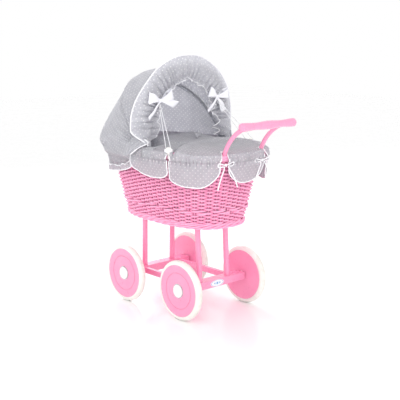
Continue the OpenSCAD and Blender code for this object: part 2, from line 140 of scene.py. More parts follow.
def smooth(x, low, high):
    """0 below low, 1 above high and a smooth step between."""
    s = np.clip((np.asarray(x, float) - low) / (high - low), 0, 1)
    return s * s * (3 - 2 * s)


def wave_noise(x, seed, period=997):
    """Smooth random values from -1 to 1 along a line, the same ones each time."""
    table = np.random.default_rng(seed).uniform(-1, 1, period)
    x = np.asarray(x, float)
    i = np.floor(x).astype(int)
    s = x - i
    s = s * s * (3 - 2 * s)
    return mix(table[i % period], table[(i + 1) % period], s)


def patch_noise(u, v, seed, period=61):
    """Smooth random values from -1 to 1 over a plane."""
    table = np.random.default_rng(seed).uniform(-1, 1, (period, period))
    u, v = np.broadcast_arrays(np.asarray(u, float), np.asarray(v, float))
    i, j = np.floor(u).astype(int), np.floor(v).astype(int)
    a, b = u - i, v - j
    a, b = a * a * (3 - 2 * a), b * b * (3 - 2 * b)
    low = mix(table[i % period, j % period], table[(i + 1) % period, j % period], a)
    high = mix(table[i % period, (j + 1) % period], table[(i + 1) % period, (j + 1) % period], a)
    return mix(low, high, b)


def pleats(x, pitch, seed, sharp=0.7):
    """Uneven gathers about pitch apart, from -1 to 1: rounded ridges and narrow creases."""
    turn = x / pitch + 0.55 * wave_noise(x / pitch / 2.3, seed) + 0.3 * wave_noise(x / pitch, seed + 1)
    ridge = 1 - 2 * np.abs(np.sin(np.pi * turn)) ** sharp
    return -ridge * (0.75 + 0.25 * wave_noise(x / pitch / 1.7, seed + 2))


# ---- Meshes ----

def make_mesh(name, points, faces, material, uv=None, marks=None, flat=False):
    """A mesh object from points in millimetres. uv is one pair per point and marks are named point values."""
    mesh = bpy.data.meshes.new(name)
    mesh.from_pydata((np.asarray(points, float).reshape(-1, 3) * MM).tolist(), [], faces)
    mesh.update()
    if uv is not None:
        layer = mesh.uv_layers.new(name="cloth")
        index = np.zeros(len(mesh.loops), int)
        mesh.loops.foreach_get("vertex_index", index)
        layer.data.foreach_set("uv", (np.asarray(uv, float).reshape(-1, 2)[index] * MM).ravel())
    for key, values in (marks or {}).items():
        mark = mesh.attributes.new(key, "FLOAT", "POINT")
        mark.data.foreach_set("value", np.asarray(values, float).ravel())
    if not flat:
        mesh.polygons.foreach_set("use_smooth", [True] * len(mesh.polygons))
    mesh.materials.append(material)
    made = bpy.data.objects.new(name, mesh)
    SCENE.collection.objects.link(made)
    return made


def grid_faces(rows, cols, wrap=False, start=0):
    """The quads of a grid of points, row by row."""
    last = rows if wrap else rows - 1
    i, j = np.meshgrid(np.arange(last), np.arange(cols - 1), indexing="ij")
    a = start + i * cols + j
    b = start + ((i + 1) % rows) * cols + j
    return np.stack([a, b, b + 1, a + 1], -1).reshape(-1, 4).tolist()


def solidify(piece, thickness):
    shell = piece.modifiers.new("thickness", "SOLIDIFY")
    shell.thickness = thickness * MM
    shell.offset = 0


CLOTH_T = 1.4


def cloth(name, points, uv, body, material, nodes=(), thickness=CLOTH_T):
    """A sheet of cloth from a grid of points."""
    rows, cols = points.shape[:2]
    piece = make_mesh(name, points, grid_faces(rows, cols), material, uv)
    solidify(piece, thickness)
    finish_piece(piece, body, nodes)
    return piece


def finish_piece(piece, body, nodes=()):
    if body:
        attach(piece, body)
    if nodes:
        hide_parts(*nodes)


def lengths(points):
    """How far along a line of points each one is."""
    step = np.linalg.norm(np.diff(points, axis=0), axis=1)
    return np.concatenate([[0], np.cumsum(step)])


def flat_uv(points):
    """Flat cloth coordinates for a grid of points: distances along its middle row and its middle column."""
    rows, cols = points.shape[:2]
    across = np.array([lengths(points[:, j]) for j in range(cols)]).T
    along = np.array([lengths(points[i]) for i in range(rows)])
    across = across - across[rows // 2]
    across = mix(across, across[:, [cols // 2]], 0.6)
    return np.stack([across, along], -1)


# Turns flat cloth coordinates, for cloth that was cut on the bias.
BIAS = np.array([[0.89, 0.45], [-0.45, 0.89]])


def sweep(path, radius, sides=8, closed=False, up=None):
    """The points of a tube round a path, one ring for each point of the path."""
    path = np.asarray(path, float)
    ahead = np.roll(path, -1, 0) - np.roll(path, 1, 0)
    if not closed:
        ahead[0], ahead[-1] = path[1] - path[0], path[-1] - path[-2]
    ahead /= np.maximum(np.linalg.norm(ahead, axis=1, keepdims=True), 1e-9)
    if up is None:
        side = np.cross(ahead[0], (0, 0, 1) if abs(ahead[0][2]) < 0.9 else (1, 0, 0))
        sides_of = []
        for direction in ahead:
            side = side - direction * (side @ direction)
            side /= np.linalg.norm(side)
            sides_of.append(side)
        side = np.array(sides_of)
    else:
        side = np.cross(ahead, up)
        side /= np.maximum(np.linalg.norm(side, axis=1, keepdims=True), 1e-9)
    other = np.cross(ahead, side)
    angle = np.arange(sides) * 2 * np.pi / sides
    radius = np.broadcast_to(np.asarray(radius, float), len(path))
    ring = side[:, None] * np.cos(angle)[:, None] + other[:, None] * np.sin(angle)[:, None]
    return path[:, None] + ring * radius[:, None, None]


class Bundle:
    """Many tubes gathered into one mesh."""

    def __init__(self):
        self.points, self.faces, self.tone, self.count = [], [], [], 0

    def tube(self, path, radius, sides=8, closed=False, up=None, tone=0.0):
        rings = sweep(path, radius, sides, closed, up)
        rows = len(rings)
        start = self.count
        i, j = np.meshgrid(np.arange(rows if closed else rows - 1), np.arange(sides), indexing="ij")
        a, b = start + i * sides + j, start + i * sides + (j + 1) % sides
        c, d = start + ((i + 1) % rows) * sides + (j + 1) % sides, start + ((i + 1) % rows) * sides + j
        self.faces += np.stack([a, b, c, d], -1).reshape(-1, 4).tolist()
        if not closed:
            self.faces.append(list(range(start + sides - 1, start - 1, -1)))
            self.faces.append(list(range(start + (rows - 1) * sides, start + rows * sides)))
        self.points.append(rings.reshape(-1, 3))
        self.tone.append(np.repeat(np.broadcast_to(np.asarray(tone, float), rows), sides))
        self.count += rows * sides

    def make(self, name, material, body, nodes=()):
        # Per-point values on each tube: above zero a random tone, below zero painted shade that the wicker's
        # material turns darker.
        marks = {"tone": np.concatenate(self.tone)}
        piece = make_mesh(name, np.concatenate(self.points), self.faces, material, marks=marks)
        finish_piece(piece, body, nodes)
        return piece


# ---- Materials ----

class Recipe:
    """A material's nodes, and short ways to add to them."""

    def __init__(self, name, colour, **shader):
        self.material = bpy.data.materials.new(name)
        self.material.use_nodes = True
        self.tree = self.material.node_tree
        self.shader = self.tree.nodes["Principled BSDF"]
        self.shader.inputs["Base Color"].default_value = (*colour, 1)
        for key, value in shader.items():
            self.shader.inputs[key.replace("_", " ")].default_value = value
        self.height = None

    def node(self, kind, settings=(), **inputs):
        made = self.tree.nodes.new("ShaderNode" + kind)
        for key, value in dict(settings).items():
            setattr(made, key, value)
        for key, value in inputs.items():
            self.plug(value, made.inputs[int(key[1:]) if key[0] == "i" and key[1:].isdigit() else key])
        return made

    def plug(self, value, socket):
        if isinstance(value, bpy.types.NodeSocket):
            self.tree.links.new(value, socket)
        elif isinstance(value, bpy.types.Node):
            self.tree.links.new(value.outputs[0], socket)
        else:
            socket.default_value = value

    def math(self, operation, a, b=0.0, c=0.0, clamp=False):
        return self.node("Math", {"operation": operation, "use_clamp": clamp}, i0=a, i1=b, i2=c)

    def vector(self, operation, a, b=(0, 0, 0), scale=None):
        made = self.node("VectorMath", {"operation": operation}, i0=a, i1=b)
        if scale is not None:
            made.inputs["Scale"].default_value = scale
        return made.outputs["Value"] if operation in ("LENGTH", "DOT_PRODUCT") else made.outputs[0]

    def place(self, kind="Object", scale=(1, 1, 1), turn=(0, 0, 0)):
        """Texture coordinates: Object, Generated or the cloth's own."""
        if kind == "cloth":
            source = self.node("UVMap", {"uv_map": "cloth"}).outputs[0]
        else:
            source = self.node("TexCoord").outputs[kind]
        return self.node("Mapping", Vector=source, Scale=scale, Rotation=turn).outputs[0]

    def noise(self, where, scale, detail=3.0, rough=0.55, distort=0.0):
        made = self.node("TexNoise", Vector=where, Scale=scale, Detail=detail, Roughness=rough,
                         Distortion=distort)
        return made.outputs["Fac"]

    def span(self, value, low, high, to_low=0.0, to_high=1.0, kind="SMOOTHSTEP"):
        made = self.node("MapRange", {"interpolation_type": kind})
        ends = {"Value": value, "From Min": low, "From Max": high, "To Min": to_low, "To Max": to_high}
        for key, x in ends.items():
            self.plug(x, made.inputs[key])
        return made.outputs[0]

    def blend(self, share, a, b):
        made = self.node("Mix", {"data_type": "RGBA"})
        self.plug(share, made.inputs[0])
        self.plug((*a, 1) if isinstance(a, tuple) else a, made.inputs[6])
        self.plug((*b, 1) if isinstance(b, tuple) else b, made.inputs[7])
        return made.outputs[2]

    def let_light_through(self, share, colour):
        """Thin cloth glows a little with the light behind it."""
        thin = self.node("BsdfTranslucent")
        self.plug(colour, thin.inputs["Color"])
        both = self.node("MixShader", i0=share, i1=self.shader, i2=thin)
        self.plug(both.outputs[0], self.tree.nodes["Material Output"].inputs["Surface"])

    def colour(self, value):
        self.plug(value, self.shader.inputs["Base Color"])

    def rough(self, value):
        self.plug(value, self.shader.inputs["Roughness"])

    def relief(self, height, distance, strength=1.0, normal=None):
        """Adds a layer of fine relief. distance is in millimetres."""
        made = self.node("Bump", Height=height, Distance=distance * MM, Strength=strength)
        before = normal if normal is not None else self.height
        if before is not None:
            self.plug(before, made.inputs["Normal"])
        self.height = made.outputs[0]
        self.plug(self.height, self.shader.inputs["Normal"])


def srgb(r, g, b):
    """A linear colour from one given as it looks on a screen, from 0 to 255."""
    return tuple(((c / 255 + 0.055) / 1.055) ** 2.4 if c > 10 else c / 255 / 12.92 for c in (r, g, b))


PINK = srgb(247, 157, 192)
PINK_DEEP = srgb(243, 150, 187)
# Painted shade colour for the gaps in the wicker and the rods that pass behind.
PINK_PAINTED_SHADE = srgb(186, 88, 134)
CLOTH = srgb(227, 227, 231)
CLOTH_SHADE = srgb(219, 219, 224)
WHITE = srgb(246, 246, 248)


def pink_paint():
    """Gloss paint on turned and planed wood: soft corners, faint grain under the coat, rubbed edges."""
    r = Recipe("pink_paint", PINK, Coat_Weight=0.35, Coat_Roughness=0.12, Specular_IOR_Level=0.45)
    where = r.place("Object", (1, 1, 1))
    soft = r.node("Bevel", {"samples": 6}, Radius=1.3 * MM)
    true = r.node("NewGeometry").outputs["Normal"]
    edge = r.span(r.vector("DOT_PRODUCT", soft.outputs[0], true), 0.93, 0.80)
    cloudy = r.span(r.noise(where, 38, 4), 0.35, 0.7)
    fleck = r.span(r.noise(where, 420, 2, 0.6), 0.62, 0.75)
    base = r.blend(r.math("MULTIPLY", cloudy, 0.5), PINK, PINK_DEEP)
    base = r.blend(r.math("MULTIPLY", fleck, 0.10), base, srgb(255, 190, 220))
    worn = r.math("MULTIPLY", edge, r.span(r.noise(where, 160, 3), 0.35, 0.7, 0.1, 0.55))
    r.colour(r.blend(worn, base, srgb(255, 196, 222)))
    r.rough(r.span(r.noise(where, 90, 3), 0.2, 0.8, 0.2, 0.42))
    grain = r.noise(r.place("Object", (90, 90, 12)), 9, 4, 0.6, 0.4)
    r.relief(grain, 0.12, 0.35, soft.outputs[0])
    r.relief(r.noise(where, 260, 3), 0.06, 0.35)
    return r.material


def disc_paint():
    """The wheels' painted faces, with the rings that the lathe leaves."""
    r = Recipe("disc_paint", PINK, Coat_Weight=0.3, Coat_Roughness=0.15, Specular_IOR_Level=0.4)
    where = r.place("Object")
    soft = r.node("Bevel", {"samples": 6}, Radius=1.0 * MM)
    centred = r.vector("SUBTRACT", r.node("TexCoord").outputs["Generated"], (0.5, 0.5, 0.5))
    reach = r.vector("LENGTH", r.vector("MULTIPLY", centred, (0, 1, 1)))
    cloudy = r.span(r.noise(where, 30, 4), 0.35, 0.7)
    base = r.blend(r.math("MULTIPLY", cloudy, 0.45), PINK, PINK_DEEP)
    rubbed = r.math("MULTIPLY", r.span(reach, 0.44, 0.5), r.span(r.noise(where, 140, 4), 0.45, 0.7, 0, 0.5))
    base = r.blend(rubbed, base, srgb(255, 196, 222))
    dust = r.math("MULTIPLY", r.span(r.noise(where, 55, 5), 0.5, 0.75), 0.10)
    r.colour(r.blend(dust, base, srgb(236, 196, 208)))
    r.rough(r.span(r.noise(where, 80, 3), 0.2, 0.8, 0.24, 0.46))
    rings = r.math("SINE", r.math("MULTIPLY", reach, 420.0))
    r.relief(rings, 0.035, 0.35, soft.outputs[0])
    r.relief(r.noise(where, 200, 4), 0.10, 0.3)
    return r.material


def wicker_paint():
    """Painted willow: bark lines along each rod, paint thin on the crowns, and painted shade that darkens the
    gaps and the rods that pass behind.
    """
    r = Recipe("wicker_paint", PINK, Specular_IOR_Level=0.4, Coat_Weight=0.18, Coat_Roughness=0.25)
    where = r.place("Object")
    tone = r.node("Attribute", {"attribute_name": "tone"}).outputs["Fac"]
    cloudy = r.span(r.noise(where, 70, 4), 0.3, 0.7)
    base = r.blend(r.math("MULTIPLY", cloudy, 0.6), srgb(252, 178, 210), srgb(248, 158, 198))
    base = r.blend(r.span(tone, 0.0, 1.0, 0.0, 0.35, "LINEAR"), base, srgb(240, 140, 184))
    # The rod attribute above zero is a random deeper tone per rod; below zero it is painted shade, darkening
    # the gaps and the rods behind the stakes.
    painted_gap_shade = r.span(tone, 0.0, -1.0, 0.0, 1.0, "LINEAR")
    base = r.blend(r.math("MULTIPLY", painted_gap_shade, 0.75), base, PINK_PAINTED_SHADE)
    fleck = r.span(r.noise(where, 330, 3), 0.60, 0.72, 0, 0.22)
    r.colour(r.blend(fleck, base, srgb(255, 192, 220)))
    r.rough(r.span(r.noise(where, 110, 3), 0.25, 0.75, 0.34, 0.56))
    bark = r.noise(r.place("Object", (1, 1, 5)), 160, 5, 0.65, 0.3)
    r.relief(bark, 0.30, 0.55)
    r.relief(r.noise(where, 620, 2), 0.08, 0.4)
    return r.material


def rubber():
    r = Recipe("tyre_rubber", srgb(243, 240, 226), Specular_IOR_Level=0.3, Sheen_Weight=0.1)
    where = r.place("Object")
    centred = r.vector("SUBTRACT", r.node("TexCoord").outputs["Generated"], (0.5, 0.5, 0.5))
    reach = r.vector("LENGTH", r.vector("MULTIPLY", centred, (0, 1, 1)))
    across = r.math("ABSOLUTE", r.node("SeparateXYZ", i0=centred).outputs[0])
    scuff = r.math("MULTIPLY", r.span(reach, 0.465, 0.5), r.span(r.noise(where, 60, 5), 0.4, 0.7, 0.05, 0.5))
    base = r.blend(r.span(r.noise(where, 25, 3), 0.3, 0.7), srgb(243, 242, 236), srgb(236, 235, 228))
    r.colour(r.blend(scuff, base, srgb(218, 214, 205)))
    r.rough(r.span(r.noise(where, 120, 3), 0.3, 0.7, 0.5, 0.68))
    seam = r.span(across, 0.0, 0.035, 1, 0)
    r.relief(seam, 0.25, 0.8)
    r.relief(r.noise(where, 480, 3), 0.10, 0.5)
    return r.material


def gloss_white(name, colour, tint):
    """Moulded or lacquered white, with faint handling marks."""
    r = Recipe(name, colour, Coat_Weight=0.25, Coat_Roughness=0.08, Specular_IOR_Level=0.5)
    where = r.place("Object")
    r.colour(r.blend(r.span(r.noise(where, 60, 4), 0.4, 0.7, 0, 0.6), colour, tint))
    r.rough(r.span(r.noise(where, 150, 4), 0.3, 0.7, 0.16, 0.34))
    r.relief(r.noise(where, 240, 3), 0.05, 0.4, r.node("Bevel", {"samples": 4}, Radius=0.6 * MM).outputs[0])
    return r.material


def steel():
    """Zinc-plated wire and plate, brushed and slightly clouded."""
    r = Recipe("zinc_steel", srgb(196, 198, 203), Metallic=1.0)
    where = r.place("Object")
    cloud = r.span(r.noise(where, 130, 4), 0.35, 0.7)
    r.colour(r.blend(cloud, srgb(206, 208, 212), srgb(172, 174, 180)))
    r.rough(r.span(r.noise(where, 300, 3), 0.2, 0.8, 0.22, 0.42))
    r.relief(r.noise(r.place("Object", (1, 12, 12)), 90, 3), 0.05, 0.5)
    return r.material


def label_print():
    """A glossy oval sticker with a plain printed ring and three round spots."""
    r = Recipe("label_print", WHITE, Coat_Weight=0.6, Coat_Roughness=0.06)
    centred = r.vector("SUBTRACT", r.node("TexCoord").outputs["Generated"], (0.5, 0.5, 0.5))
    oval = r.vector("LENGTH", r.vector("MULTIPLY", centred, (2, 0, 2)))
    blue, pale = srgb(120, 168, 214), srgb(214, 230, 245)
    ring = r.math("MULTIPLY", r.span(oval, 0.84, 0.87), r.span(oval, 0.95, 0.92))
    base = r.blend(r.span(oval, 0.9, 0.3), WHITE, pale)
    base = r.blend(ring, base, blue)
    for x, size in ((-0.19, 0.11), (0.0, 0.17), (0.19, 0.11)):
        spot = r.vector("LENGTH", r.vector("MULTIPLY", r.vector("SUBTRACT", centred, (x, 0, 0)), (2.6, 0, 1)))
        base = r.blend(r.span(spot, size + 0.012, size - 0.012), base, blue)
    r.colour(base)
    r.rough(r.span(r.noise(r.place("Object"), 300, 3), 0.3, 0.7, 0.14, 0.24))
    r.relief(r.noise(r.place("Object"), 120, 2), 0.04, 0.5)
    return r.material


DOT_PITCH, DOT_R = 13.0, 1.4


def dotted_cloth():
    """Light grey plain-weave cotton with a lattice of small white dots and a fifth dot in each square."""
    r = Recipe("dotted_cotton", CLOTH, Roughness=0.85, Specular_IOR_Level=0.2, Sheen_Weight=0.25,
               Sheen_Roughness=0.5)
    where = r.place("cloth")
    cell = r.vector("SCALE", where, scale=1 / (DOT_PITCH * MM))
    wobble = r.node("TexNoise", Vector=where, Scale=70.0, Detail=1.0).outputs["Color"]
    cell = r.vector("ADD", cell, r.vector("SCALE", r.vector("SUBTRACT", wobble, (0.5, 0.5, 0.5)), scale=0.10))
    near = []
    for shift in (0.0, 0.5):
        part = r.vector("FRACTION", r.vector("ADD", cell, (shift, shift, 0)))
        part = r.vector("MULTIPLY", r.vector("SUBTRACT", part, (0.5, 0.5, 0)), (1, 1, 0))
        near.append(r.vector("LENGTH", part))
    reach = r.math("MINIMUM", near[0], near[1])
    size = DOT_R / DOT_PITCH
    dot = r.span(reach, size * 1.15, size * 0.85)
    thread = 0.55
    warp = r.node("SeparateXYZ", i0=r.vector("SCALE", where, scale=math.pi / (thread * MM)))
    weave = r.math("MULTIPLY", r.math("SINE", warp.outputs[0]), r.math("SINE", warp.outputs[1]))
    slub = r.noise(r.place("cloth", (1, 12, 1)), 60, 4, 0.6)
    cloudy = r.span(r.noise(where, 45, 4), 0.3, 0.7)
    base = r.blend(cloudy, CLOTH, CLOTH_SHADE)
    base = r.blend(r.span(slub, 0.45, 0.7, 0, 0.35), base, srgb(234, 233, 238))
    base = r.blend(r.span(weave, -1, 1, 0.0, 0.12, "LINEAR"), base, srgb(200, 199, 206))
    cotton = r.blend(dot, base, (1.0, 1.0, 1.0))
    r.colour(cotton)
    r.rough(r.span(cloudy, 0, 1, 0.78, 0.92))
    r.relief(weave, 0.10, 0.5)
    r.relief(r.noise(where, 160, 5, 0.65), 0.55, 0.35)
    r.relief(dot, 0.05, 0.5)
    r.let_light_through(0.55, cotton)
    return r.material


def white_cotton():
    """White cotton tape or cord with a twill line and a little fuzz."""
    r = Recipe("white_binding", WHITE, Roughness=0.8, Sheen_Weight=0.3, Specular_IOR_Level=0.25)
    where = r.place("Object", (1, 1, 1), (0.5, 0.6, 0.3))
    thread = 0.5
    lines = r.node("TexWave", {"bands_direction": "DIAGONAL"}, Vector=where, Scale=1 / thread / MM / 20,
                   Distortion=1.5)
    cloudy = r.span(r.noise(where, 90, 3), 0.3, 0.7)
    r.colour(r.blend(r.math("MULTIPLY", cloudy, 0.5), WHITE, srgb(232, 232, 238)))
    r.rough(r.span(cloudy, 0, 1, 0.72, 0.88))
    r.relief(lines.outputs["Fac"], 0.15, 0.5)
    r.relief(r.noise(where, 700, 3), 0.15, 0.4)
    return r.material


def satin():
    """White satin ribbon: long floats that shine, and a soft crumple."""
    r = Recipe("satin_ribbon", srgb(246, 246, 252), Specular_IOR_Level=0.6, Sheen_Weight=0.2,
               Coat_Weight=0.15)
    where = r.place("cloth")
    floats = r.noise(r.place("cloth", (1, 14, 1)), 220, 4, 0.6)
    r.colour(r.blend(r.span(floats, 0.4, 0.7, 0, 0.6), srgb(247, 247, 252), srgb(232, 233, 244)))
    r.rough(r.span(floats, 0.3, 0.7, 0.26, 0.42))
    r.relief(floats, 0.08, 0.5)
    r.relief(r.noise(where, 90, 3), 0.6, 0.3)
    return r.material


def pale_floor():
    r = Recipe("pale_floor", srgb(252, 252, 252), Specular_IOR_Level=0.5)
    r.rough(r.span(r.noise(r.place("Object"), 3, 3), 0.3, 0.7, 0.16, 0.22))
    return r.material


PAINT = pink_paint()
DISC = disc_paint()
WICKER = wicker_paint()
RUBBER = rubber()
CAP_WHITE = gloss_white("cap_plastic", srgb(248, 247, 244), srgb(238, 236, 230))
KNOB_WHITE = gloss_white("knob_lacquer", srgb(246, 245, 240), srgb(234, 231, 222))
STEEL = steel()
LABEL = label_print()
COTTON = dotted_cloth()
BINDING = white_cotton()
SATIN = satin()

CAD_LOOKS = {
    "wheel_disc": DISC, "tyre": RUBBER, "hub_cap": CAP_WHITE, "hub_clip": STEEL, "axle_beam": PAINT,
    "side_rail": PAINT, "leg": PAINT, "frame_screws": STEEL, "wheel_bolts": STEEL,
    "wheel_spacers": CAP_WHITE, "label_plate": LABEL, "basket_base": WICKER, "handle": PAINT,
    "knob": KNOB_WHITE, "hood_brackets": STEEL, "front_hoop": STEEL, "rear_hoop": STEEL}


def dress_cad():
    """Gives each CAD node that stays its material."""
    for name, node in frame["nodes"].items():
        for start, look in CAD_LOOKS.items():
            if name.startswith(start):
                node.data.materials.clear()
                node.data.materials.append(look)


dress_cad()


# ---- The basket's shape ----

def rise(z):
    return (z - FOOT_Z) / (RIM_Z - FOOT_Z)


def swelling(s):
    return s * (1 + SWELL * (1 - s))


def outline_at(z, out):
    """Half width, half length and middle of the basket's outline at height z, out from its outer face."""
    s = rise(z)
    half_x = mix(FOOT_HALF_X, RIM_HALF_X, swelling(s)) + out
    half_y = mix(FOOT_HALF_Y, RIM_HALF_Y, swelling(s)) + out
    return half_x, half_y, mix(FOOT_MID_Y, RIM_MID_Y, s)


def basket_point(z, t, out):
    """A point at height z, in direction t in degrees, out from the basket's outer face."""
    z, t, out = np.broadcast_arrays(np.asarray(z, float), np.asarray(t, float), np.asarray(out, float))
    half_x, half_y, middle = outline_at(z, out)
    a = np.radians(t)
    p = 2 / SQUARENESS
    return np.stack([half_x * power(np.cos(a), p), middle + half_y * power(np.sin(a), p), z], -1)


TURNS = np.linspace(0, 360, 1441)
AROUND = lengths(basket_point(330.0, TURNS, 0.0))
PERIMETER = AROUND[-1]


def turn_at(share):
    """The direction in degrees at a share of the way round, evenly spaced along the wall."""
    share = np.asarray(share, float)
    return np.interp((share % 1) * PERIMETER, AROUND, TURNS) + 360 * np.floor(share)


# ---- Wicker ----

STAKES = 56
STEPS = 4
ROD = 2.35
STAKE_R = 2.0
STAKE_IN = WALL_T / 2
FOOT_ROWS = 6
ROW_PITCH = 4.4
PLAIN_REACH, WALE_REACH = 4.3, 5.4


def weave_path(z, order, reach, sag, phase):
    """A rod that goes all round at height z. order says for each stake if the rod passes in front."""
    count = STAKES * STEPS
    u = np.arange(count) / STEPS
    i = np.floor(u).astype(int) % STAKES
    s = (1 - np.cos(np.pi * (u % 1))) / 2
    front = mix(order[i], order[(i + 1) % STAKES], s)
    drop = mix(sag[i], sag[(i + 1) % STAKES], s)
    rng = np.random.default_rng(int(phase * 1000) + 7)
    jitter = wave_noise(u / 2.5 + phase * 31, 11) * 0.45
    out = -STAKE_IN + reach * front + 0.25 * wave_noise(u / 1.3 + phase * 17, 12)
    radius = ROD * (1 + 0.09 * wave_noise(u / 5 + phase * 53, 13) + rng.uniform(-0.05, 0.05))
    path = basket_point(z + drop + jitter, turn_at(u / STAKES), out)
    return path, radius, np.clip(front, -1, 1)


def make_wall():
    """Stakes, rows of plain weave, and a wale a few rows up whose rods pass two stakes and dip behind one."""
    wall = Bundle()
    rng = np.random.default_rng(5)
    stake = np.arange(STAKES)
    for k in stake:
        z = np.linspace(FOOT_Z + 4, RIM_LOW + 4, 26)
        lean = turn_at(k / STAKES + 0.0006 * wave_noise(z / 40 + k * 9.0, 21))
        # Stakes get a fixed negative value: painted shade, as they sit behind the weave.
        wall.tube(basket_point(z, lean, -STAKE_IN), STAKE_R * rng.uniform(0.95, 1.08), 8, tone=-0.25)
    z = BORDER_TOP + 1.0
    row = 0
    while z < WALL_TOP - 1:
        wale = row in (FOOT_ROWS, FOOT_ROWS + 1)
        if not wale:
            order = np.where((stake + row) % 2 == 0, 1.0, -1.0)
            sag = np.zeros(STAKES)
        else:
            behind = (stake + row) % 3 == 0
            order = np.where(behind, -1.0, 1.0)
            sag = 0.85 * (((stake + row + 1) % 3 == 0) * 1.0 - ((stake + row - 1) % 3 == 0) * 1.0)
        reach = WALE_REACH if wale else PLAIN_REACH
        path, radius, front = weave_path(z, order, reach, sag, 0.37 * row + 0.11)
        # A random tone on the rods in front, and painted shade where a rod passes behind a stake.
        tone = rng.uniform(-0.1, 0.55) * (front > -0.2) + np.where(front < 0.1, -0.75 * (0.1 - front), 0.0)
        wall.tube(path, radius * (1.12 if wale else 1.0), 8, closed=True, up=(0, 0, 1), tone=tone)
        z += ROW_PITCH * (1.14 if wale else 1.0)
        row += 1
    return wall.make("woven_wall", WICKER, "root", ["basket_wall"])


def rope(bundle, z, out, strands, strand_r, coil_r, lay, flat=1.0, steps=520, tone=0.3):
    """Rods twisted round each other all the way round the basket."""
    share = np.arange(steps) / steps
    turns = round(PERIMETER / lay)
    for k in range(strands):
        a = 2 * np.pi * (turns * share + k / strands)
        path = basket_point(z + coil_r * np.sin(a), turn_at(share), out + coil_r * flat * np.cos(a))
        wear = 1 + 0.07 * wave_noise(share * 90 + k * 13, 31)
        # A random tone per strand, and painted shade on the inner side of each strand's coil, where the
        # strands turn behind each other.
        shade = tone * k / strands - 0.5 * smooth(-np.cos(a), 0.2, 1.0)
        bundle.tube(path, strand_r * wear, 8, closed=True, up=(0, 0, 1), tone=shade)


def make_borders():
    foot = Bundle()
    rope(foot, FOOT_Z + 10.2, out=-1.0, strands=3, strand_r=2.5, coil_r=2.8, lay=84, flat=1.1)
    rope(foot, FOOT_Z + 4.2, out=-0.2, strands=3, strand_r=2.5, coil_r=2.9, lay=92, flat=1.1)
    rope(foot, FOOT_Z + 7.0, out=-8.4, strands=3, strand_r=2.4, coil_r=2.6, lay=90, flat=1.0)
    foot.make("foot_border", WICKER, "root", ["basket_foot_border"])
    rim = Bundle()
    middle = (RIM_LOW + RIM_HIGH) / 2
    core = (RIM_OUT - ROLL_IN) / 2
    rope(rim, middle, core, strands=6, strand_r=4.2, coil_r=5.6, lay=150, flat=1.55)
    rope(rim, middle, core, strands=1, strand_r=6.0, coil_r=0.3, lay=400, flat=1.2, steps=240)
    rim.make("rolled_rim", WICKER, "root", ["basket_rim"])


make_wall()
make_borders()


# ---- Cloth surfaces ----

def normals(points, wrap=False):
    """Unit normals of a grid of points."""
    if wrap:
        across = np.roll(points, -1, 0) - np.roll(points, 1, 0)
    else:
        across = np.gradient(points, axis=0)
    found = np.cross(across, np.gradient(points, axis=1))
    return found / np.maximum(np.linalg.norm(found, axis=-1, keepdims=True), 1e-9)


def push(points, amount, wrap=False):
    """Moves a grid of points along its normals."""
    return points + normals(points, wrap) * np.asarray(amount)[..., None]


def through(at, keys, values):
    """A smooth curve through (keys, values), by cubic steps."""
    keys, values = np.asarray(keys, float), np.asarray(values, float)
    slope = np.gradient(values, keys)
    i = np.clip(np.searchsorted(keys, at) - 1, 0, len(keys) - 2)
    width = keys[i + 1] - keys[i]
    s = np.clip((at - keys[i]) / width, 0, 1)
    a, b = 2 * s**3 - 3 * s**2 + 1, s**3 - 2 * s**2 + s
    c, d = -2 * s**3 + 3 * s**2, s**3 - s**2
    return a * values[i] + b * width * slope[i] + c * values[i + 1] + d * width * slope[i + 1]


def binding(name, path, radius, body, closed=False):
    """A bound edge: a thin padded tape folded over the cloth's edge."""
    bundle = Bundle()
    run = lengths(np.asarray(path))
    bundle.tube(path, radius * (1 + 0.10 * wave_noise(run / 6, 41)), 8, closed)
    return bundle.make(name, BINDING, body)


def follow(piece):
    """Bakes a piece's placement into its mesh."""
    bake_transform(piece)


def arch_point(lean, half, reach, t):
    """A point on an arch that turns about the hood's pin, as the CAD model has it."""
    lean, half, reach, t = np.broadcast_arrays(*(np.asarray(x, float) for x in (lean, half, reach, t)))
    legs = reach - half - CLOTH_START
    bend = np.pi * half / 2
    run = t * 2 * (legs + bend)
    a = np.clip((run - legs) / (2 * bend), 0, 1) * np.pi
    left, right = run <= legs, run >= legs + 2 * bend
    x = np.where(left, -half, np.where(right, half, -half * power(np.cos(a), 0.86)))
    s = np.where(left, run, np.where(right, 2 * (legs + bend) - run, legs + half * power(np.sin(a), 0.86)))
    away, turn = s + CLOTH_START, np.radians(lean)
    return np.stack([x, PIVOT_Y + away * np.sin(turn), PIVOT_Z + away * np.cos(turn)], -1)


# ---- Hood ----

ARCH_ROWS = 260
MIDDLE_KEYS = [[-3.5, 143.6, 196.6], [4, 144, 192], [12, 145, 190.5], [20, 146.5, 192], [28, 148.5, 199],
               [33.5, 148, 202], [37, 145, 198], [38.9, 143.5, 191.5]]
BACK_KEYS = [[39.5, 143.5, 191.5], [43, 145.5, 196], [52, 147, 199], [60, 149, 201], [68, 151, 207.5],
             [77, 153, 217], [86, 155, 230], [95, 157, 240], [104, 159, 247]]


def hood_surface(keys, cols):
    """A grid over a stretch of the hood: rows go over the arch and columns go from one lean to the next."""
    keys = np.array(keys, float)
    lean = np.linspace(keys[0, 0], keys[-1, 0], cols)
    half, reach = through(lean, keys[:, 0], keys[:, 1]), through(lean, keys[:, 0], keys[:, 2])
    t = np.linspace(0, 1, ARCH_ROWS)[:, None]
    return arch_point(lean[None], half[None], reach[None], t), t, lean[None]


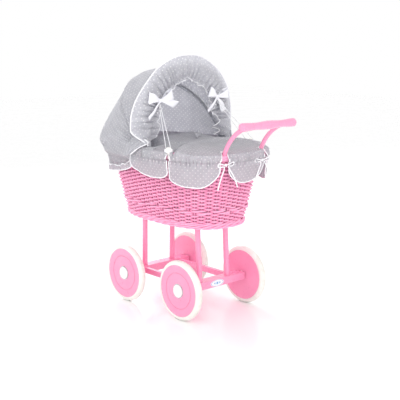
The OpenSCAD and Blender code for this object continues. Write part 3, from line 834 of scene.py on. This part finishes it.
def hug(points, z, out):
    """Moves points level on to the basket's outline at height z, out from its outer face."""
    half_x, half_y, middle = outline_at(z, out)
    x, y = points[..., 0], points[..., 1] - middle
    size = (np.abs(x / half_x) ** SQUARENESS + np.abs(y / half_y) ** SQUARENESS) ** (1 / SQUARENESS)
    return np.stack([x / size, middle + y / size, z + 0 * x], -1)


def hem_line(t, drop=0.0, out=15.0):
    """The elastic line round the head end, where the hood is gathered to the basket: high at the pins."""
    ring = arch_point(100.0, 153.0, 225.0, t)
    ring[..., 1] -= 12 * near_pin(t, 0.2)
    z = through(ring[..., 1], [30, 48, 66, 95, 140, 200, 262], [404, 398, 384, 374, 367, 359, 352])
    return hug(ring, z - drop, out)


def clear_rim(points, gap=21.5):
    """Moves points that lie within the rolled rim out to its outside."""
    z = points[..., 2]
    outside = hug(points, z, gap)
    middle = np.array([0.0, RIM_MID_Y])
    reach = np.linalg.norm(points[..., :2] - middle, axis=-1)
    inside = reach < np.linalg.norm(outside[..., :2] - middle, axis=-1)
    near = smooth(np.abs(z - RIM_Z - 2), 24, 13)
    return mix(points, outside, (inside * near)[..., None])


def lean_weights(lean, still, moving):
    share = np.clip((lean - still) / (moving - still), 0, 1)
    share = np.broadcast_to(share, (ARCH_ROWS, lean.shape[-1])).ravel().astype(np.float32)


def near_pin(t, width):
    """1 at both ends of an arch, by the pin, and 0 further up."""
    return 1 - smooth(np.minimum(t, 1 - t), 0.0, width)


def pin_gathers(t, lean, width, pitch, seed):
    """Gathers across an arch near its pins, which die out at its very ends."""
    return near_pin(t, width) * pleats(lean, pitch, seed) * smooth(t, 0, 0.02) * smooth(1 - t, 0, 0.02)


def make_middle_panel():
    points, t, lean = hood_surface(MIDDLE_KEYS, 56)
    share = (lean - lean.min()) / np.ptp(lean)
    run = t * 620
    amount = 1.5 * pleats(run, 13, 51) * smooth(share, 0.72, 1.0) * (1 - 0.6 * smooth(share, 0.97, 1.0))
    amount = amount + 1.0 * pleats(run, 12, 57) * smooth(share, 0.3, 0.0)
    amount = amount + 2.4 * pin_gathers(t, lean, 0.16, 6.5, 52)
    amount = amount + 1.8 * patch_noise(run / 46, lean / 11, 53) + 0.7 * patch_noise(run / 17, lean / 5, 54)
    points = push(points, -amount)
    piece = cloth("hood_middle_cloth", points, flat_uv(points) @ BIAS, None, COTTON, ["hood_middle_panel"])
    follow(piece)
    lean_weights(lean, REAR_LEAN, FRONT_LEAN)


def make_back_panel():
    points, t, lean = hood_surface(BACK_KEYS, 92)
    run = t * 700
    low, high = lean.min(), lean.max()
    hold = smooth(lean, mix(91, 78, near_pin(t, 0.3)), high)
    points = mix(points, hem_line(t), hold[..., None])
    points = push(points, -9.0 * np.sin(np.pi * hold ** 0.9))
    gather = smooth(lean, high - 30, high) ** 1.2
    amount = 4.2 * pleats(run, 17, 61, 0.8) * gather
    amount = amount + 1.7 * pleats(run, 13, 62) * smooth(lean, low + 13, low)
    amount = amount + 2.6 * pin_gathers(t, lean, 0.2, 7.5, 63)
    amount = amount + 2.6 * patch_noise(run / 60, lean / 17, 64) + 0.9 * patch_noise(run / 19, lean / 7, 65)
    points = clear_rim(push(points, -amount))
    piece = cloth("hood_back_cloth", points, flat_uv(points) @ BIAS, None, COTTON, ["hood_back_panel"])
    follow(piece)
    lean_weights(lean, 96, REAR_LEAN)


def make_hem():
    """The frill below the elastic that holds the hood round the basket, bound in white."""
    t = np.linspace(0, 1, ARCH_ROWS)[:, None]
    share = np.linspace(0, 1, 16)[None]
    run = t * 700
    out = 15 + 4.0 * share + pleats(run, 17, 61, 0.8) * mix(4.2, 1.5, share)
    points = hem_line(t, 17 * share, out + 4.0 * wave_noise(run / 15, 66) * share)
    piece = cloth("hood_hem_frill", points, flat_uv(points), "root", COTTON, ["hood_hem"])
    edge = binding("hood_hem_binding", points[:, -1], 1.5, "root")
    wiggle = 3.0 * wave_noise(run / 7, 67)
    lip_line = hem_line(t, 3.0 + wiggle, 18 + 2.5 * wave_noise(run / 9, 68))[:, 0]
    lip = binding("hood_hem_lip", lip_line, 1.2, "root")


def hoop_plane(x, s, out):
    """A point by the front hoop: s up from the pin along the hoop, and out towards the handle."""
    x, s, out = np.broadcast_arrays(*(np.asarray(v, float) for v in (x, s, out)))
    lean = math.radians(FRONT_LEAN)
    return np.stack([x, PIVOT_Y + s * math.sin(lean) - out * math.cos(lean),
                     PIVOT_Z + s * math.cos(lean) + out * math.sin(lean)], -1)


BRIM_ROWS = 760
BRIM_LOW = 5.0
MOUTH_R, NECK_R, BRIM_R = 93, 110, 160


def make_brim():
    """The frill round the mouth: gathered on an elastic near its inner edge and smooth at its outer edge."""
    leg = BRIM_MID - BRIM_LOW
    total = 2 * leg + math.pi * FRONT_HALF
    run = np.linspace(0, total, BRIM_ROWS)[:, None]
    angle = math.pi - np.clip((run - leg) / FRONT_HALF, 0, math.pi)
    left = run < total / 2
    up = np.where(left, np.minimum(run, leg), np.minimum(total - run, leg))
    s_mid = BRIM_LOW + up
    on_leg = (run < leg) | (run > total - leg)
    height = np.where(on_leg, s_mid, BRIM_MID + FRONT_HALF * np.sin(angle))
    low = 1 - smooth(height, 40, 125)
    foot = 1 - smooth(height, BRIM_LOW, 42)
    along = run * 0.84

    outer = BRIM_R + 1.0 * wave_noise(run / 30, 71)
    outer = outer + 12.5 * smooth(math.pi - angle, 0.75, 0.02) * left
    outer = mix(outer, 137, foot ** 1.5)
    fold = wave_noise(run / 13.5, 72)
    depth = np.where(left, 5.0, 10.0) * low + 4.6
    inner = MOUTH_R + 9 * np.exp(-((angle - 1.60) / 0.16) ** 2) * (~on_leg) + depth * fold
    inner = inner + np.where(left, 2.0, 6.0) * low + 14 * foot
    neck = np.maximum(inner, MOUTH_R) * 0.25 + 0.75 * NECK_R + 5 * low + 6 * foot

    v = np.linspace(0, 1, 52)[None]
    seam = 0.24
    r = np.where(v < seam, mix(inner, neck, v / seam), mix(neck, outer, (v - seam) / (1 - seam)))
    w = np.clip((v - seam) / (1 - seam), 0, 1)
    puff = 3.0 + 7.5 * np.sin(np.pi * w ** 0.8) * (1 + 0.5 * low) - 1.5 * w
    ruffle = smooth(v, seam, 0)
    gather = pleats(along + 5 * w * wave_noise(run / 40, 79), 13.5, 73, 0.6)
    reach = 1 + 0.35 * wave_noise(run / 21, 74)
    fade = np.clip(1 - w / np.clip(reach, 0.55, 1.2), 0, 1) ** 1.15
    out = puff + gather * mix(6.2, 6.4, low) * fade * (1 - 0.45 * ruffle)
    out = out + ruffle * (3.0 + np.where(left, 5.5, 8.5) * wave_noise(run / 9.5 + 0.5, 75))
    crumple = 3.8 * patch_noise(run / 12, w * 2.6 + run / 60, 76) + 2.2 * patch_noise(run / 6.5, w * 4.5, 77)
    out = out + low * crumple * np.sin(np.pi * np.clip(w, 0, 1)) ** 0.5
    out = out + 0.8 * patch_noise(run / 30, w * 2, 78) + foot * 25 * w ** 1.2
    out = np.maximum(out, 2.6)

    x = np.where(on_leg, np.where(left, -r, r), r * np.cos(angle))
    s = np.where(on_leg, s_mid - foot * 6 * (w - 0.4), BRIM_MID + r * np.sin(angle))
    slide = low * 3.0 * patch_noise(run / 15, w * 3, 80) * np.sin(np.pi * w)
    points = hoop_plane(x, s + slide, out)
    piece = cloth("brim_frill", points, flat_uv(points), "front_hoop", COTTON, ["hood_brim"], 1.2)
    edge = binding("brim_binding", points[:, -1], 1.7, "front_hoop")
    lip = binding("mouth_binding", points[:, 0], 1.25, "front_hoop")


def make_corners():
    """The hood's front corners, gathered down to the rim beside each hoop pin, with a bound front edge."""
    for side, name in ((-1, "left"), (1, "right")):
        v = np.linspace(0, 1, 44)[:, None]
        u = np.linspace(0, 1, 40)[None]
        front = np.array([[146, 5, 441], [140, -1, 432], [153, 15, 421], [161, 40, 402]], float)
        back = np.array([[147, 44, 446], [154, 54, 432], [161, 61, 415], [163, 68, 396]], float)
        keys = np.linspace(0, 1, 4)
        a = np.stack([through(v[:, 0], keys, front[:, i]) for i in range(3)], -1)[:, None]
        b = np.stack([through(v[:, 0], keys, back[:, i]) for i in range(3)], -1)[:, None]
        points = mix(a, b, u[..., None])
        points[..., 0] += 5 * np.sin(np.pi * u) * np.sin(np.pi * np.clip(v, 0.05, 1))
        points[..., 0] += 2.3 * pleats(u * 46 + 6 * v, 11, 91 + side) * smooth(v, 0, 0.4)
        points[..., 0] *= side
        piece = cloth("hood_corner_" + name, points, flat_uv(points), "root", COTTON)
        edge = binding(f"hood_corner_{name}_binding", points[:, 0], 1.5, "root")


def make_casing():
    """A cloth sleeve round the rear hoop, sewn along the hood."""
    path = arch_point(REAR_LEAN, REAR_HALF, REAR_REACH, np.linspace(0.09, 0.91, 200))
    ring = sweep(path, 3.0 + 0.3 * pleats(np.arange(200) * 2.6, 11, 58), 12)
    points = np.concatenate([ring, ring[:, :1]], 1)
    piece = cloth("rear_hoop_casing", points, flat_uv(points), "rear_hoop", COTTON, thickness=0.5)


make_casing()
make_middle_panel()
make_back_panel()
make_hem()
make_brim()
make_corners()


# ---- Bows ----

def ribbon(path, across, widths, cols=9, cup=0.0, lift=None):
    """A strip along a path: across is its width's direction at each point, and cup bends it in section."""
    path, across = np.asarray(path, float), np.asarray(across, float)
    across = across / np.linalg.norm(across, axis=-1, keepdims=True)
    ahead = np.gradient(path, axis=0)
    face = np.cross(ahead, across)
    face /= np.maximum(np.linalg.norm(face, axis=-1, keepdims=True), 1e-9)
    v = np.linspace(-1, 1, cols)[None, :, None]
    bend = cup * (1 - v * v)
    if lift is not None:
        bend = bend + lift[..., None]
    widths = np.asarray(widths, float)[:, None, None]
    return path[:, None] + across[:, None] * widths / 2 * v + face[:, None] * bend


def bow_loop(tilt, length, width, depth, seed):
    """One loop of a bow in its own plane: x away from the knot, y up and z to the front."""
    a = np.linspace(0, 1, 41)
    out = length * np.sin(np.pi * a) ** 0.75
    ahead = depth * np.sin(2 * np.pi * a) * (1 - 0.3 * np.sin(np.pi * a))
    sag = 1.6 * wave_noise(a * 5, seed)
    path = np.stack([out, sag, ahead], -1)
    wide = 5.5 + (width - 5.5) * np.sin(np.pi * a) ** 0.8
    v = np.linspace(-1, 1, 9)[None]
    creases = 1.1 * np.sin(v * 7 + 2 * a[:, None] + seed) * (1 - np.sin(np.pi * a[:, None])) ** 0.8
    strip = ribbon(path, np.tile([0.12, 1, 0], (41, 1)), wide, 9, 0.0, creases)
    c, s = math.cos(math.radians(tilt)), math.sin(math.radians(tilt))
    x, y = strip[..., 0].copy(), strip[..., 1].copy()
    strip[..., 0], strip[..., 1] = x * c - y * s, x * s + y * c
    return strip


def bow_tail(end, width, curl, seed):
    """One tail of a bow, from the knot to end, cut on the slant."""
    a = np.linspace(0, 1, 30)
    end = np.asarray(end, float)
    path = a[:, None] * end + np.stack([0 * a, 0 * a, curl * np.sin(np.pi * a)], -1)
    path[:, 0] += 2.2 * wave_noise(a * 3, seed) * np.sin(np.pi * a)
    across = np.array([-end[1], end[0], 0.0])
    across = np.stack([across[0] + 0 * a, across[1] + 0 * a, 9 * np.sin(3.2 * a + seed)], -1)
    strip = ribbon(path, across, 4.5 + (width - 4.5) * smooth(a, 0, 0.8), 7, 0.8)
    cut = smooth(a, 0.8, 1.0)[:, None] * np.linspace(-1, 1, 7)[None] * width * 0.28
    strip += (end / np.linalg.norm(end)) * cut[..., None]
    return strip


def bow_knot(size):
    """A small pinched knot."""
    a = np.linspace(0, 2 * np.pi, 22)[:, None]
    b = np.linspace(-np.pi / 2, np.pi / 2, 14)[None]
    r = 1 + 0.10 * np.cos(5 * a) * np.cos(b)
    return np.stack([size * 0.75 * r * np.cos(b) * np.cos(a), size * np.sin(b) + 0 * a,
                     size * 0.62 * r * np.cos(b) * np.sin(a)], -1)


def put(strip, centre, right, up, front):
    """Moves a strip from a bow's own plane to its place."""
    axes = np.array([right, up, front], float)
    return np.asarray(centre, float) + strip @ axes


def make_bow(name, centre, axes, loops, tails, body, material, knot, nodes=(), thickness=0.5):
    """Loops, tails and a knot as one sewn piece of ribbon."""
    points, faces, uvs, count = [], [], [], 0
    strips = [bow_loop(*loop) * [side, 1, 1] for side, loop in zip((-1, 1), loops)]
    strips += [bow_tail(*tail) for tail in tails]
    strips.append(bow_knot(knot))
    for strip in strips:
        rows, cols = strip.shape[:2]
        points.append(put(strip, centre, *axes).reshape(-1, 3))
        uvs.append(flat_uv(strip).reshape(-1, 2))
        faces += grid_faces(rows, cols, start=count)
        count += rows * cols
    piece = make_mesh(name, np.concatenate(points), faces, material, np.concatenate(uvs))
    solidify(piece, thickness)
    finish_piece(piece, body, nodes)
    return piece


def make_bows():
    lean = math.radians(FRONT_LEAN)
    axes = ([1, 0, 0], [0, math.sin(lean), math.cos(lean)], [0, -math.cos(lean), math.sin(lean)])
    up = (corner("bow_right", 0, 2) + corner("bow_right", 1, 2)) / 2 + 4 - PIVOT_Z
    for side, name in ((-1, "left"), (1, "right")):
        centre = hoop_plane(side * (BOW_X - 4), up, 17)
        if side < 0:
            loops = [(14, 37, 28, 7.5, 1), (24, 40, 29, 8.0, 2)]
            tails = [((-34, -42, -1), 9, 2, 3), ((48, -12, 3), 20, 3, 4)]
        else:
            loops = [(28, 30, 27, 7.5, 5), (14, 38, 27, 7.5, 6)]
            tails = [((-32, -36, 2), 8, 2, 7), ((32, -40, -4), 22, 2, 8)]
        make_bow("satin_bow_" + name, centre, axes, loops, tails, "front_hoop", SATIN, 5.0,
                 ["bow_" + name])
    flat_axes = ([0.9, 0.42, 0.1], [-0.3, 0.5, 0.81], [0.3, -0.78, 0.55])
    loops = [(4, 13, 9, 3, 11), (10, 14, 10, 3, 12)]
    tails = [((-14, -6, 0), 5, 1, 13), ((12, -8, 0), 5, 1, 14)]
    make_bow("duvet_bow", (22, 0, 441), flat_axes, loops, tails, "root", COTTON, 2.6)


def make_elastics():
    """A loop of white elastic from each bow's knot down round the ball on the rim, and the turns that stay
    on the ball."""
    up = (corner("bow_right", 0, 2) + corner("bow_right", 1, 2)) / 2 - 1 - PIVOT_Z
    for side, name in ((-1, "left"), (1, "right")):
        top = hoop_plane(side * (BOW_X - 4), up, 12)
        ball = np.array([side * KNOB[0], KNOB[1], KNOB_Z])
        line = top - ball
        line /= np.linalg.norm(line)
        beside = np.cross(line, [side, 0.0, 0.0])
        beside /= np.linalg.norm(beside)
        hold = KNOB_D / 2 + 1.2
        bend = [ball + hold * (beside * math.cos(a) - line * math.sin(a)) for a in np.linspace(0, np.pi, 15)]
        first = np.linspace(top + 1.6 * beside, bend[0], 22)[:-1]
        last = np.linspace(bend[-1], top - 1.6 * beside, 22)[1:]
        path = np.concatenate([first, bend, last])
        bundle = Bundle()
        bundle.tube(path, 0.8, 8)
        piece = bundle.make("elastic_cord_" + name, BINDING, "front_hoop", ["elastic_" + name])
        turns = np.linspace(0, 2 * np.pi, 60, endpoint=False)
        wrap = Bundle()
        for lift in (-1.7, 1.7):
            r = KNOB_D / 2 + 0.4
            ring = np.stack([r * np.cos(turns), r * np.sin(turns), lift + 0.6 * np.sin(3 * turns)], -1)
            wrap.tube(ball + ring, 1.9, 8, closed=True)
        wrap.make("ball_wrap_" + name, BINDING, "root")
        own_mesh(piece)


make_bows()
make_elastics()


# ---- Bedding ----

KNOB_TURN = math.degrees(math.asin(-(abs((KNOB[1] - RIM_MID_Y) / (RIM_HALF_Y + 12)) ** (SQUARENESS / 2))))
ARM_TURN = math.degrees(math.acos((ARM_X / (RIM_HALF_X + 4)) ** (SQUARENESS / 2)))
# Directions round the rim, in degrees: the cover's edge is slit at the balls and at the handle's arms.
SLITS = [180 - KNOB_TURN, 180 + ARM_TURN, 360 - ARM_TURN, 360 + KNOB_TURN]
SLIT_HALF = [2.4, 4.4, 4.4, 2.4]
COVER_FROM = 176.0
COVER_TOP = 428.5
HEAD_HALF_X, HEAD_MID_Y, HEAD_REACH, HEAD_Z = 104, -36, 136, 374
COVER_MID_Y = -52.0


def slit_share(t):
    """1 in the middle of a slit in the cover's edge and 0 away from it."""
    return sum(1 - smooth(np.abs(t - middle), half - 1.6, half + 0.4)
               for middle, half in zip(SLITS, SLIT_HALF))


def gather_puckers(t):
    """Small gathers along the seam between the cover and its valance."""
    return pleats(np.interp(t, TURNS, AROUND), 8.5, 101, 0.7)


def make_duvet():
    """The puffed cover: held on the rim by a gathered seam, slit for the arms and the balls, and rolled at
    its head end."""
    rows, cols = 560, 84
    t = np.linspace(0, 360, rows, endpoint=False)[:, None]
    slit = slit_share(t)
    outside = smooth(t, COVER_FROM, COVER_FROM + 7) * (1 - smooth(t, 353, 360))
    on_rim = basket_point(mix(GATHER_Z, RIM_HIGH + 3.5, slit), t, mix(GATHER_OUT + 1.5, 1.0, slit))
    a = np.radians(t)
    head_y = HEAD_MID_Y + HEAD_REACH * power(np.sin(a), 0.62)
    head = np.stack([HEAD_HALF_X * power(np.cos(a), 0.62), head_y, HEAD_Z + 0 * a], -1)
    edge = mix(head, on_rim, outside[..., None])
    middle = np.array([0.0, COVER_MID_Y, 0.0])
    s = np.linspace(0, 1, cols)[None] ** 1.7
    reach = np.linalg.norm((edge - middle)[..., :2], axis=-1)
    away = s * reach
    plan = edge[..., :2] + (middle[:2] - edge[..., :2]) * s[..., None]
    x, y = plan[..., 0], plan[..., 1]
    top = COVER_TOP + 9.5 * np.exp(-((y - 48) / 42) ** 2) * np.exp(-(x / 92) ** 4)
    past = y + 40 + 46 * (x / 127) ** 2 + 3 * wave_noise(x / 24, 105)
    top = top - 10.0 * np.exp(-(past / 5.5) ** 2) + 6.5 * np.exp(-((past + 15) / 12) ** 2)
    top = top - 8 * smooth(np.abs(x), 60, 118) - 7 * smooth(-y, 110, 185)
    shoulder = mix(30.0, 38.0, outside)
    k = np.clip(away / shoulder, 0, 1)
    z = edge[..., 2] + (top - edge[..., 2]) * np.clip(1 - (1 - k) ** 2, 0, 1) ** mix(0.5, 0.40, outside)
    points = np.stack([x, y, z], -1)
    outward = (edge - middle) * [1, 1, 0]
    outward /= np.linalg.norm(outward, axis=-1, keepdims=True)
    points += outward * (4.5 * np.sin(np.pi * k ** 0.6) * outside)[..., None]
    pucker = 0.35 + gather_puckers(t)
    points = push(points, pucker * 3.4 * (1 - smooth(away, 1, 24)) * outside * (1 - 0.7 * slit), True)
    soft = 2.4 * patch_noise(x / 34, y / 30, 103) + 1.1 * patch_noise(x / 13, y / 15, 104)
    points = push(points, soft * smooth(away, 4, 30), True)
    past_rim = smooth(away, 14, 9) * outside * (1 - slit)
    points = mix(points, clear_rim(points), past_rim[..., None])
    plan = points[..., :2] - middle[:2]
    far = np.array([lengths(row[::-1])[::-1] for row in points])
    uv = plan * (far / np.maximum(np.linalg.norm(plan, axis=-1), 1e-3))[..., None]
    faces = grid_faces(rows, cols, True)
    piece = make_mesh("duvet_cover", points, faces, COTTON, uv @ BIAS)
    solidify(piece, 1.6)
    finish_piece(piece, "root", ["duvet"])
    for n, (middle_t, half) in enumerate(zip(SLITS, SLIT_HALF)):
        i = np.abs(t[:, 0] - middle_t) < half + 0.6
        edge_line = points[i, 0] + (points[i, 0] - [0, RIM_MID_Y, RIM_LOW]) * [0.016, 0.011, 0.06]
        binding(f"slit_binding_{n + 1}", edge_line, 1.8, "root")


def make_rim_cover():
    """The liner's edge, turned over the rim round the head end and held there by the hood."""
    t = np.linspace(-9, 189, 240)[:, None]
    share = np.linspace(0, 1, 26)[None]
    keys = np.linspace(0, 1, 7)
    out = through(share, keys, [19.4, 20.4, 14, 3, -9, -13.5, -12.5])
    z = through(share, keys, [396, 408, 419.5, 422, 419, 407, 392])
    run = np.interp(t % 360, TURNS, AROUND)
    lift = 0.9 * pleats(run, 12, 131) * np.sin(np.pi * share)
    points = basket_point(z + lift, t, out + 0.5 * lift)
    piece = cloth("rim_cover", points, flat_uv(points), "root", COTTON, thickness=1.0)


def make_valances():
    """Five scalloped panels that hang from the gathered seam, bound in white."""
    knob_left, arm_left, arm_right, knob_right = SLITS
    panels = [
        ("left_front", 177.5, knob_left - 0.9, 47, 0.45, 0.66),
        ("left_rear", knob_left + 0.9, arm_left - 4.2, 62, 0.68, 0.34),
        ("rear", arm_left + 4.2, arm_right - 4.2, 54, 0.34, 0.34),
        ("right_rear", arm_right + 4.2, knob_right - 0.9, 62, 0.34, 0.68),
        ("right_front", knob_right + 0.9, 362.5, 47, 0.66, 0.45)]
    for name, first, last, drop, a, b in panels:
        u = np.linspace(0, 1, 110)[:, None]
        k = np.linspace(0, 1, 40)[None]
        t = mix(first, last, u)
        ends = mix(a, b, smooth(u, 0, 1))
        roundness = mix(1.7, 3.0, (ends - 0.34) / 0.34)
        deep = drop * (ends + (1 - ends) * np.clip(1 - np.abs(2 * u - 1) ** roundness, 0, 1) ** 0.62)
        z = GATHER_Z - deep * k
        run = np.interp(t, TURNS, AROUND)
        out = GATHER_OUT + 3.4 * smooth(deep * k, 0, 14) + 1.0 * k
        out = out + 3.2 * gather_puckers(t) * (1 - smooth(deep * k, 1, 22))
        out = out + 2.6 * wave_noise(run / 17, 111) * smooth(deep * k, 6, 45)
        out = out + 0.8 * patch_noise(run / 11, z / 16, 112)
        points = basket_point(z, t, out)
        piece = cloth("valance_cloth_" + name, points, flat_uv(points), "root", COTTON, ["valance_" + name])
        rim = np.concatenate([points[0, 2:-1], points[:, -1], points[-1, -2:1:-1]])
        edge = binding(f"valance_binding_{name}", rim, 1.6, "root")


def make_liner():
    """The cloth tub inside the basket."""
    share = np.arange(240) / 240
    z = np.linspace(corner("liner", 0, 2) + 1, corner("liner", 1, 2) - 1, 30)[None]
    t = turn_at(share)[:, None]
    run = share[:, None] * PERIMETER
    out = -WALL_T - 3.2 + 1.0 * patch_noise(run / 24, z / 30, 121) + 0.6 * pleats(run, 22, 122)
    points = basket_point(z, t, out)
    uv = np.stack([z + 0 * run, run + 0 * z], -1)
    piece = make_mesh("basket_liner", points, grid_faces(240, 30, True), COTTON, uv)
    solidify(piece, 1.2)
    finish_piece(piece, "root", ["liner"])


def pad_mesh(name, outline, low, high, crown):
    """A closed pad over an outline, crowned above and below, as a start for the cloth to swell."""
    rows = len(outline)
    centre = outline.mean(0)
    levels = np.linspace(-1, 1, 15)
    points = []
    for level in levels:
        tuck = (1 - abs(level) ** 3.0) ** 0.5 if abs(level) < 1 else 0
        ring = centre + (outline - centre) * (1 - 0.16 * (1 - tuck))
        z = (low + high) / 2 + (high - low) / 2 * level
        points.append(np.column_stack([ring, np.full(rows, z)]))
    faces = grid_faces(len(levels), rows + 1)
    faces = [[i // (rows + 1) * rows + i % (rows + 1) % rows for i in f] for f in faces]
    count = len(levels) * rows
    for which, z in ((0, low), (len(levels) - 1, high)):
        base = which * rows
        for step in range(1, 8):
            ring = centre + (outline - centre) * (0.84 * (1 - step / 8))
            lift = crown * (1 - (1 - step / 8) ** 2) * (1 if which else -0.3)
            points.append(np.column_stack([ring, np.full(rows, z + lift)]))
            for i in range(rows):
                j = (i + 1) % rows
                quad = [base + i, base + j, count + j, count + i]
                faces.append(quad if which else quad[::-1])
            base, count = count, count + rows
        points.append(np.array([[*centre, z + crown * (1 if which else -0.3)]]))
        for i in range(rows):
            j = (i + 1) % rows
            faces.append([base + i, base + j, count] if which else [base + j, base + i, count])
        count += 1
    return make_mesh(name, np.concatenate(points), faces, COTTON)


def puff(piece, voxel, pressure, cap):
    """Swells a closed pad with a cloth simulation, and keeps each point within cap of where it was."""
    SCENE.frame_set(1)
    bpy.context.view_layer.objects.active = piece
    remesh = piece.modifiers.new("remesh", "REMESH")
    remesh.mode = "VOXEL"
    remesh.voxel_size = voxel * MM
    bpy.ops.object.modifier_apply(modifier=remesh.name)
    count = len(piece.data.vertices)
    before = np.zeros(count * 3)
    piece.data.vertices.foreach_get("co", before)
    swell = piece.modifiers.new("cloth", "CLOTH")
    swell.settings.use_pressure = True
    swell.settings.uniform_pressure_force = pressure
    swell.settings.effector_weights.gravity = 0
    swell.settings.shrink_min = -0.05
    swell.collision_settings.use_collision = False
    for step in range(1, 21):
        SCENE.frame_set(step)
    solved = piece.evaluated_get(bpy.context.evaluated_depsgraph_get())
    after = np.zeros(count * 3)
    solved.data.vertices.foreach_get("co", after)
    piece.modifiers.remove(swell)
    SCENE.frame_set(1)
    move = (after - before).reshape(-1, 3)
    far = np.maximum(np.linalg.norm(move, axis=1, keepdims=True), 1e-9)
    move *= np.minimum(1, cap * MM / far)
    piece.data.vertices.foreach_set("co", (before.reshape(-1, 3) + move).ravel())
    points = np.zeros(count * 3)
    piece.data.vertices.foreach_get("co", points)
    points = points.reshape(-1, 3)
    layer = piece.data.uv_layers.new(name="cloth")
    index = np.zeros(len(piece.data.loops), int)
    piece.data.loops.foreach_get("vertex_index", index)
    layer.data.foreach_set("uv", points[index][:, :2].ravel())
    piece.data.polygons.foreach_set("use_smooth", [True] * len(piece.data.polygons))
    piece.data.update()
    smoother = piece.modifiers.new("smooth", "SUBSURF")
    smoother.levels = smoother.render_levels = 1


def make_pads():
    """The pillow and the mattress, swollen by cloth pressure inside the space their solids hold."""
    a = np.linspace(0, 2 * np.pi, 64, endpoint=False)
    for name, piece_name, squeeze, crown, voxel, cap, fill in (
            ("pillow", "pillow_pad", 14, 13, 5, 9, 0.7), ("mattress", "mattress_pad", 5, 1.5, 6, 4, 0.8)):
        low, high = (np.array(p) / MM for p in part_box(name))
        half = (high - low) / 2 - squeeze * np.array([0.7, 0.7, 0.5])
        middle = (high + low) / 2
        x = middle[0] + half[0] * power(np.cos(a), 0.6)
        y = middle[1] + half[1] * power(np.sin(a), 0.6)
        base, top = middle[2] - half[2] + crown * 0.3, middle[2] + half[2] - crown
        pad = pad_mesh(piece_name, np.column_stack([x, y]), base, top, crown)
        puff(pad, voxel, 4, cap)
        finish_piece(pad, "root", [name])


TIE_LOOP, TIE_TAIL = 25, 55.0


def rounded(path, times=12):
    """Eases the sharp turns of a path, with its ends kept."""
    for step in range(times):
        path = np.concatenate([path[:1], (path[:-2] + 2 * path[1:-1] + path[2:]) / 4, path[-1:]])
    return path


def make_ties():
    """White cord tied in a bow at the foot of each arm, on its left: each half runs from the knot round a
    loop to a tail."""
    low, high = corner("arm_tie_right", 0, 1), corner("arm_tie_right", 1, 1)
    knot_z = corner("arm_tie_right", 1, 2) - 6
    for side, name in ((-1, "left"), (1, "right")):
        centre = np.array([side * ARM_X - 12, (low + high) / 2 - 1, knot_z])
        knot = Bundle()
        a = np.linspace(0, 2 * np.pi, 40, endpoint=False)
        curl = np.stack([2.1 * np.cos(a), -0.8 + 1.6 * np.sin(a), 2.4 * np.sin(2 * a)], -1)
        knot.tube(centre + curl, 1.25, 8, closed=True)
        ball = knot.make(f"tie_knot_{name}", BINDING, "root", ["arm_tie_" + name])
        for turn in (-1, 1):
            b = np.linspace(0, 1, 26)
            swing = np.sin(np.pi * b)
            loop_x = turn * (1.0 + TIE_LOOP * swing ** 0.8)
            loop_y = -1.4 - 3.0 * np.sin(2 * np.pi * b) * 0.6 - 1.5 * b
            loop_z = 6.5 * np.sin(2 * np.pi * (b - 0.04)) * swing ** 0.5 + 1.5 * swing
            loop = np.stack([loop_x, loop_y, loop_z], -1)
            c = np.linspace(0, 1, 20)[1:]
            x = turn * (1.0 + (33 if turn > 0 else 28) * c + 4 * np.sin(np.pi * c))
            tail = np.stack([x, -2.9 - 2.5 * c - 1.5 * np.sin(np.pi * c), -TIE_TAIL * c], -1)
            path = rounded(centre + np.concatenate([loop, tail]))
            cord = Bundle()
            cord.tube(path, 1.45, 8)
            end = "inner" if turn * side < 0 else "outer"
            piece = cord.make(f"tie_cord_{name}_{end}", BINDING, "root")


make_duvet()
make_rim_cover()
make_valances()
make_liner()
make_pads()
make_ties()


# ---- Light and floor ----

def add_light(name, place, size, watts, target=(0, 0, 320)):
    data = bpy.data.lights.new(name, "AREA")
    data.shape = "RECTANGLE"
    data.size, data.size_y = size
    data.energy = watts
    lamp = bpy.data.objects.new(name, data)
    lamp.location = Vector(place) * MM
    aim = Vector(target) * MM - lamp.location
    lamp.rotation_euler = aim.to_track_quat("-Z", "Y").to_euler()
    SCENE.collection.objects.link(lamp)


def make_studio():
    world = bpy.data.worlds.new("studio")
    SCENE.world = world
    world.use_nodes = True
    sky = world.node_tree.nodes["Background"]
    sky.inputs["Color"].default_value = (1.0, 1.0, 1.0, 1)
    sky.inputs["Strength"].default_value = 1.0
    add_light("key", (-900, -1500, 1700), (1.2, 1.2), watts=3)
    add_light("front", (-900, -1900, 640), (0.9, 0.9), watts=10, target=(0, 60, 480))
    add_light("fill", (-1900, 300, 900), (1.6, 1.6), watts=5)
    add_light("back", (500, 1700, 1300), (1.4, 1.4), watts=26, target=(0, 150, 500))
    size = 6000.0
    x = np.array([[-size, -size, 0], [size, -size, 0], [size, size, 0], [-size, size, 0]])
    floor = make_mesh("floor", x, [[0, 1, 2, 3]], pale_floor(), flat=True)
    SCENE.view_settings.view_transform = "Standard"


make_studio()
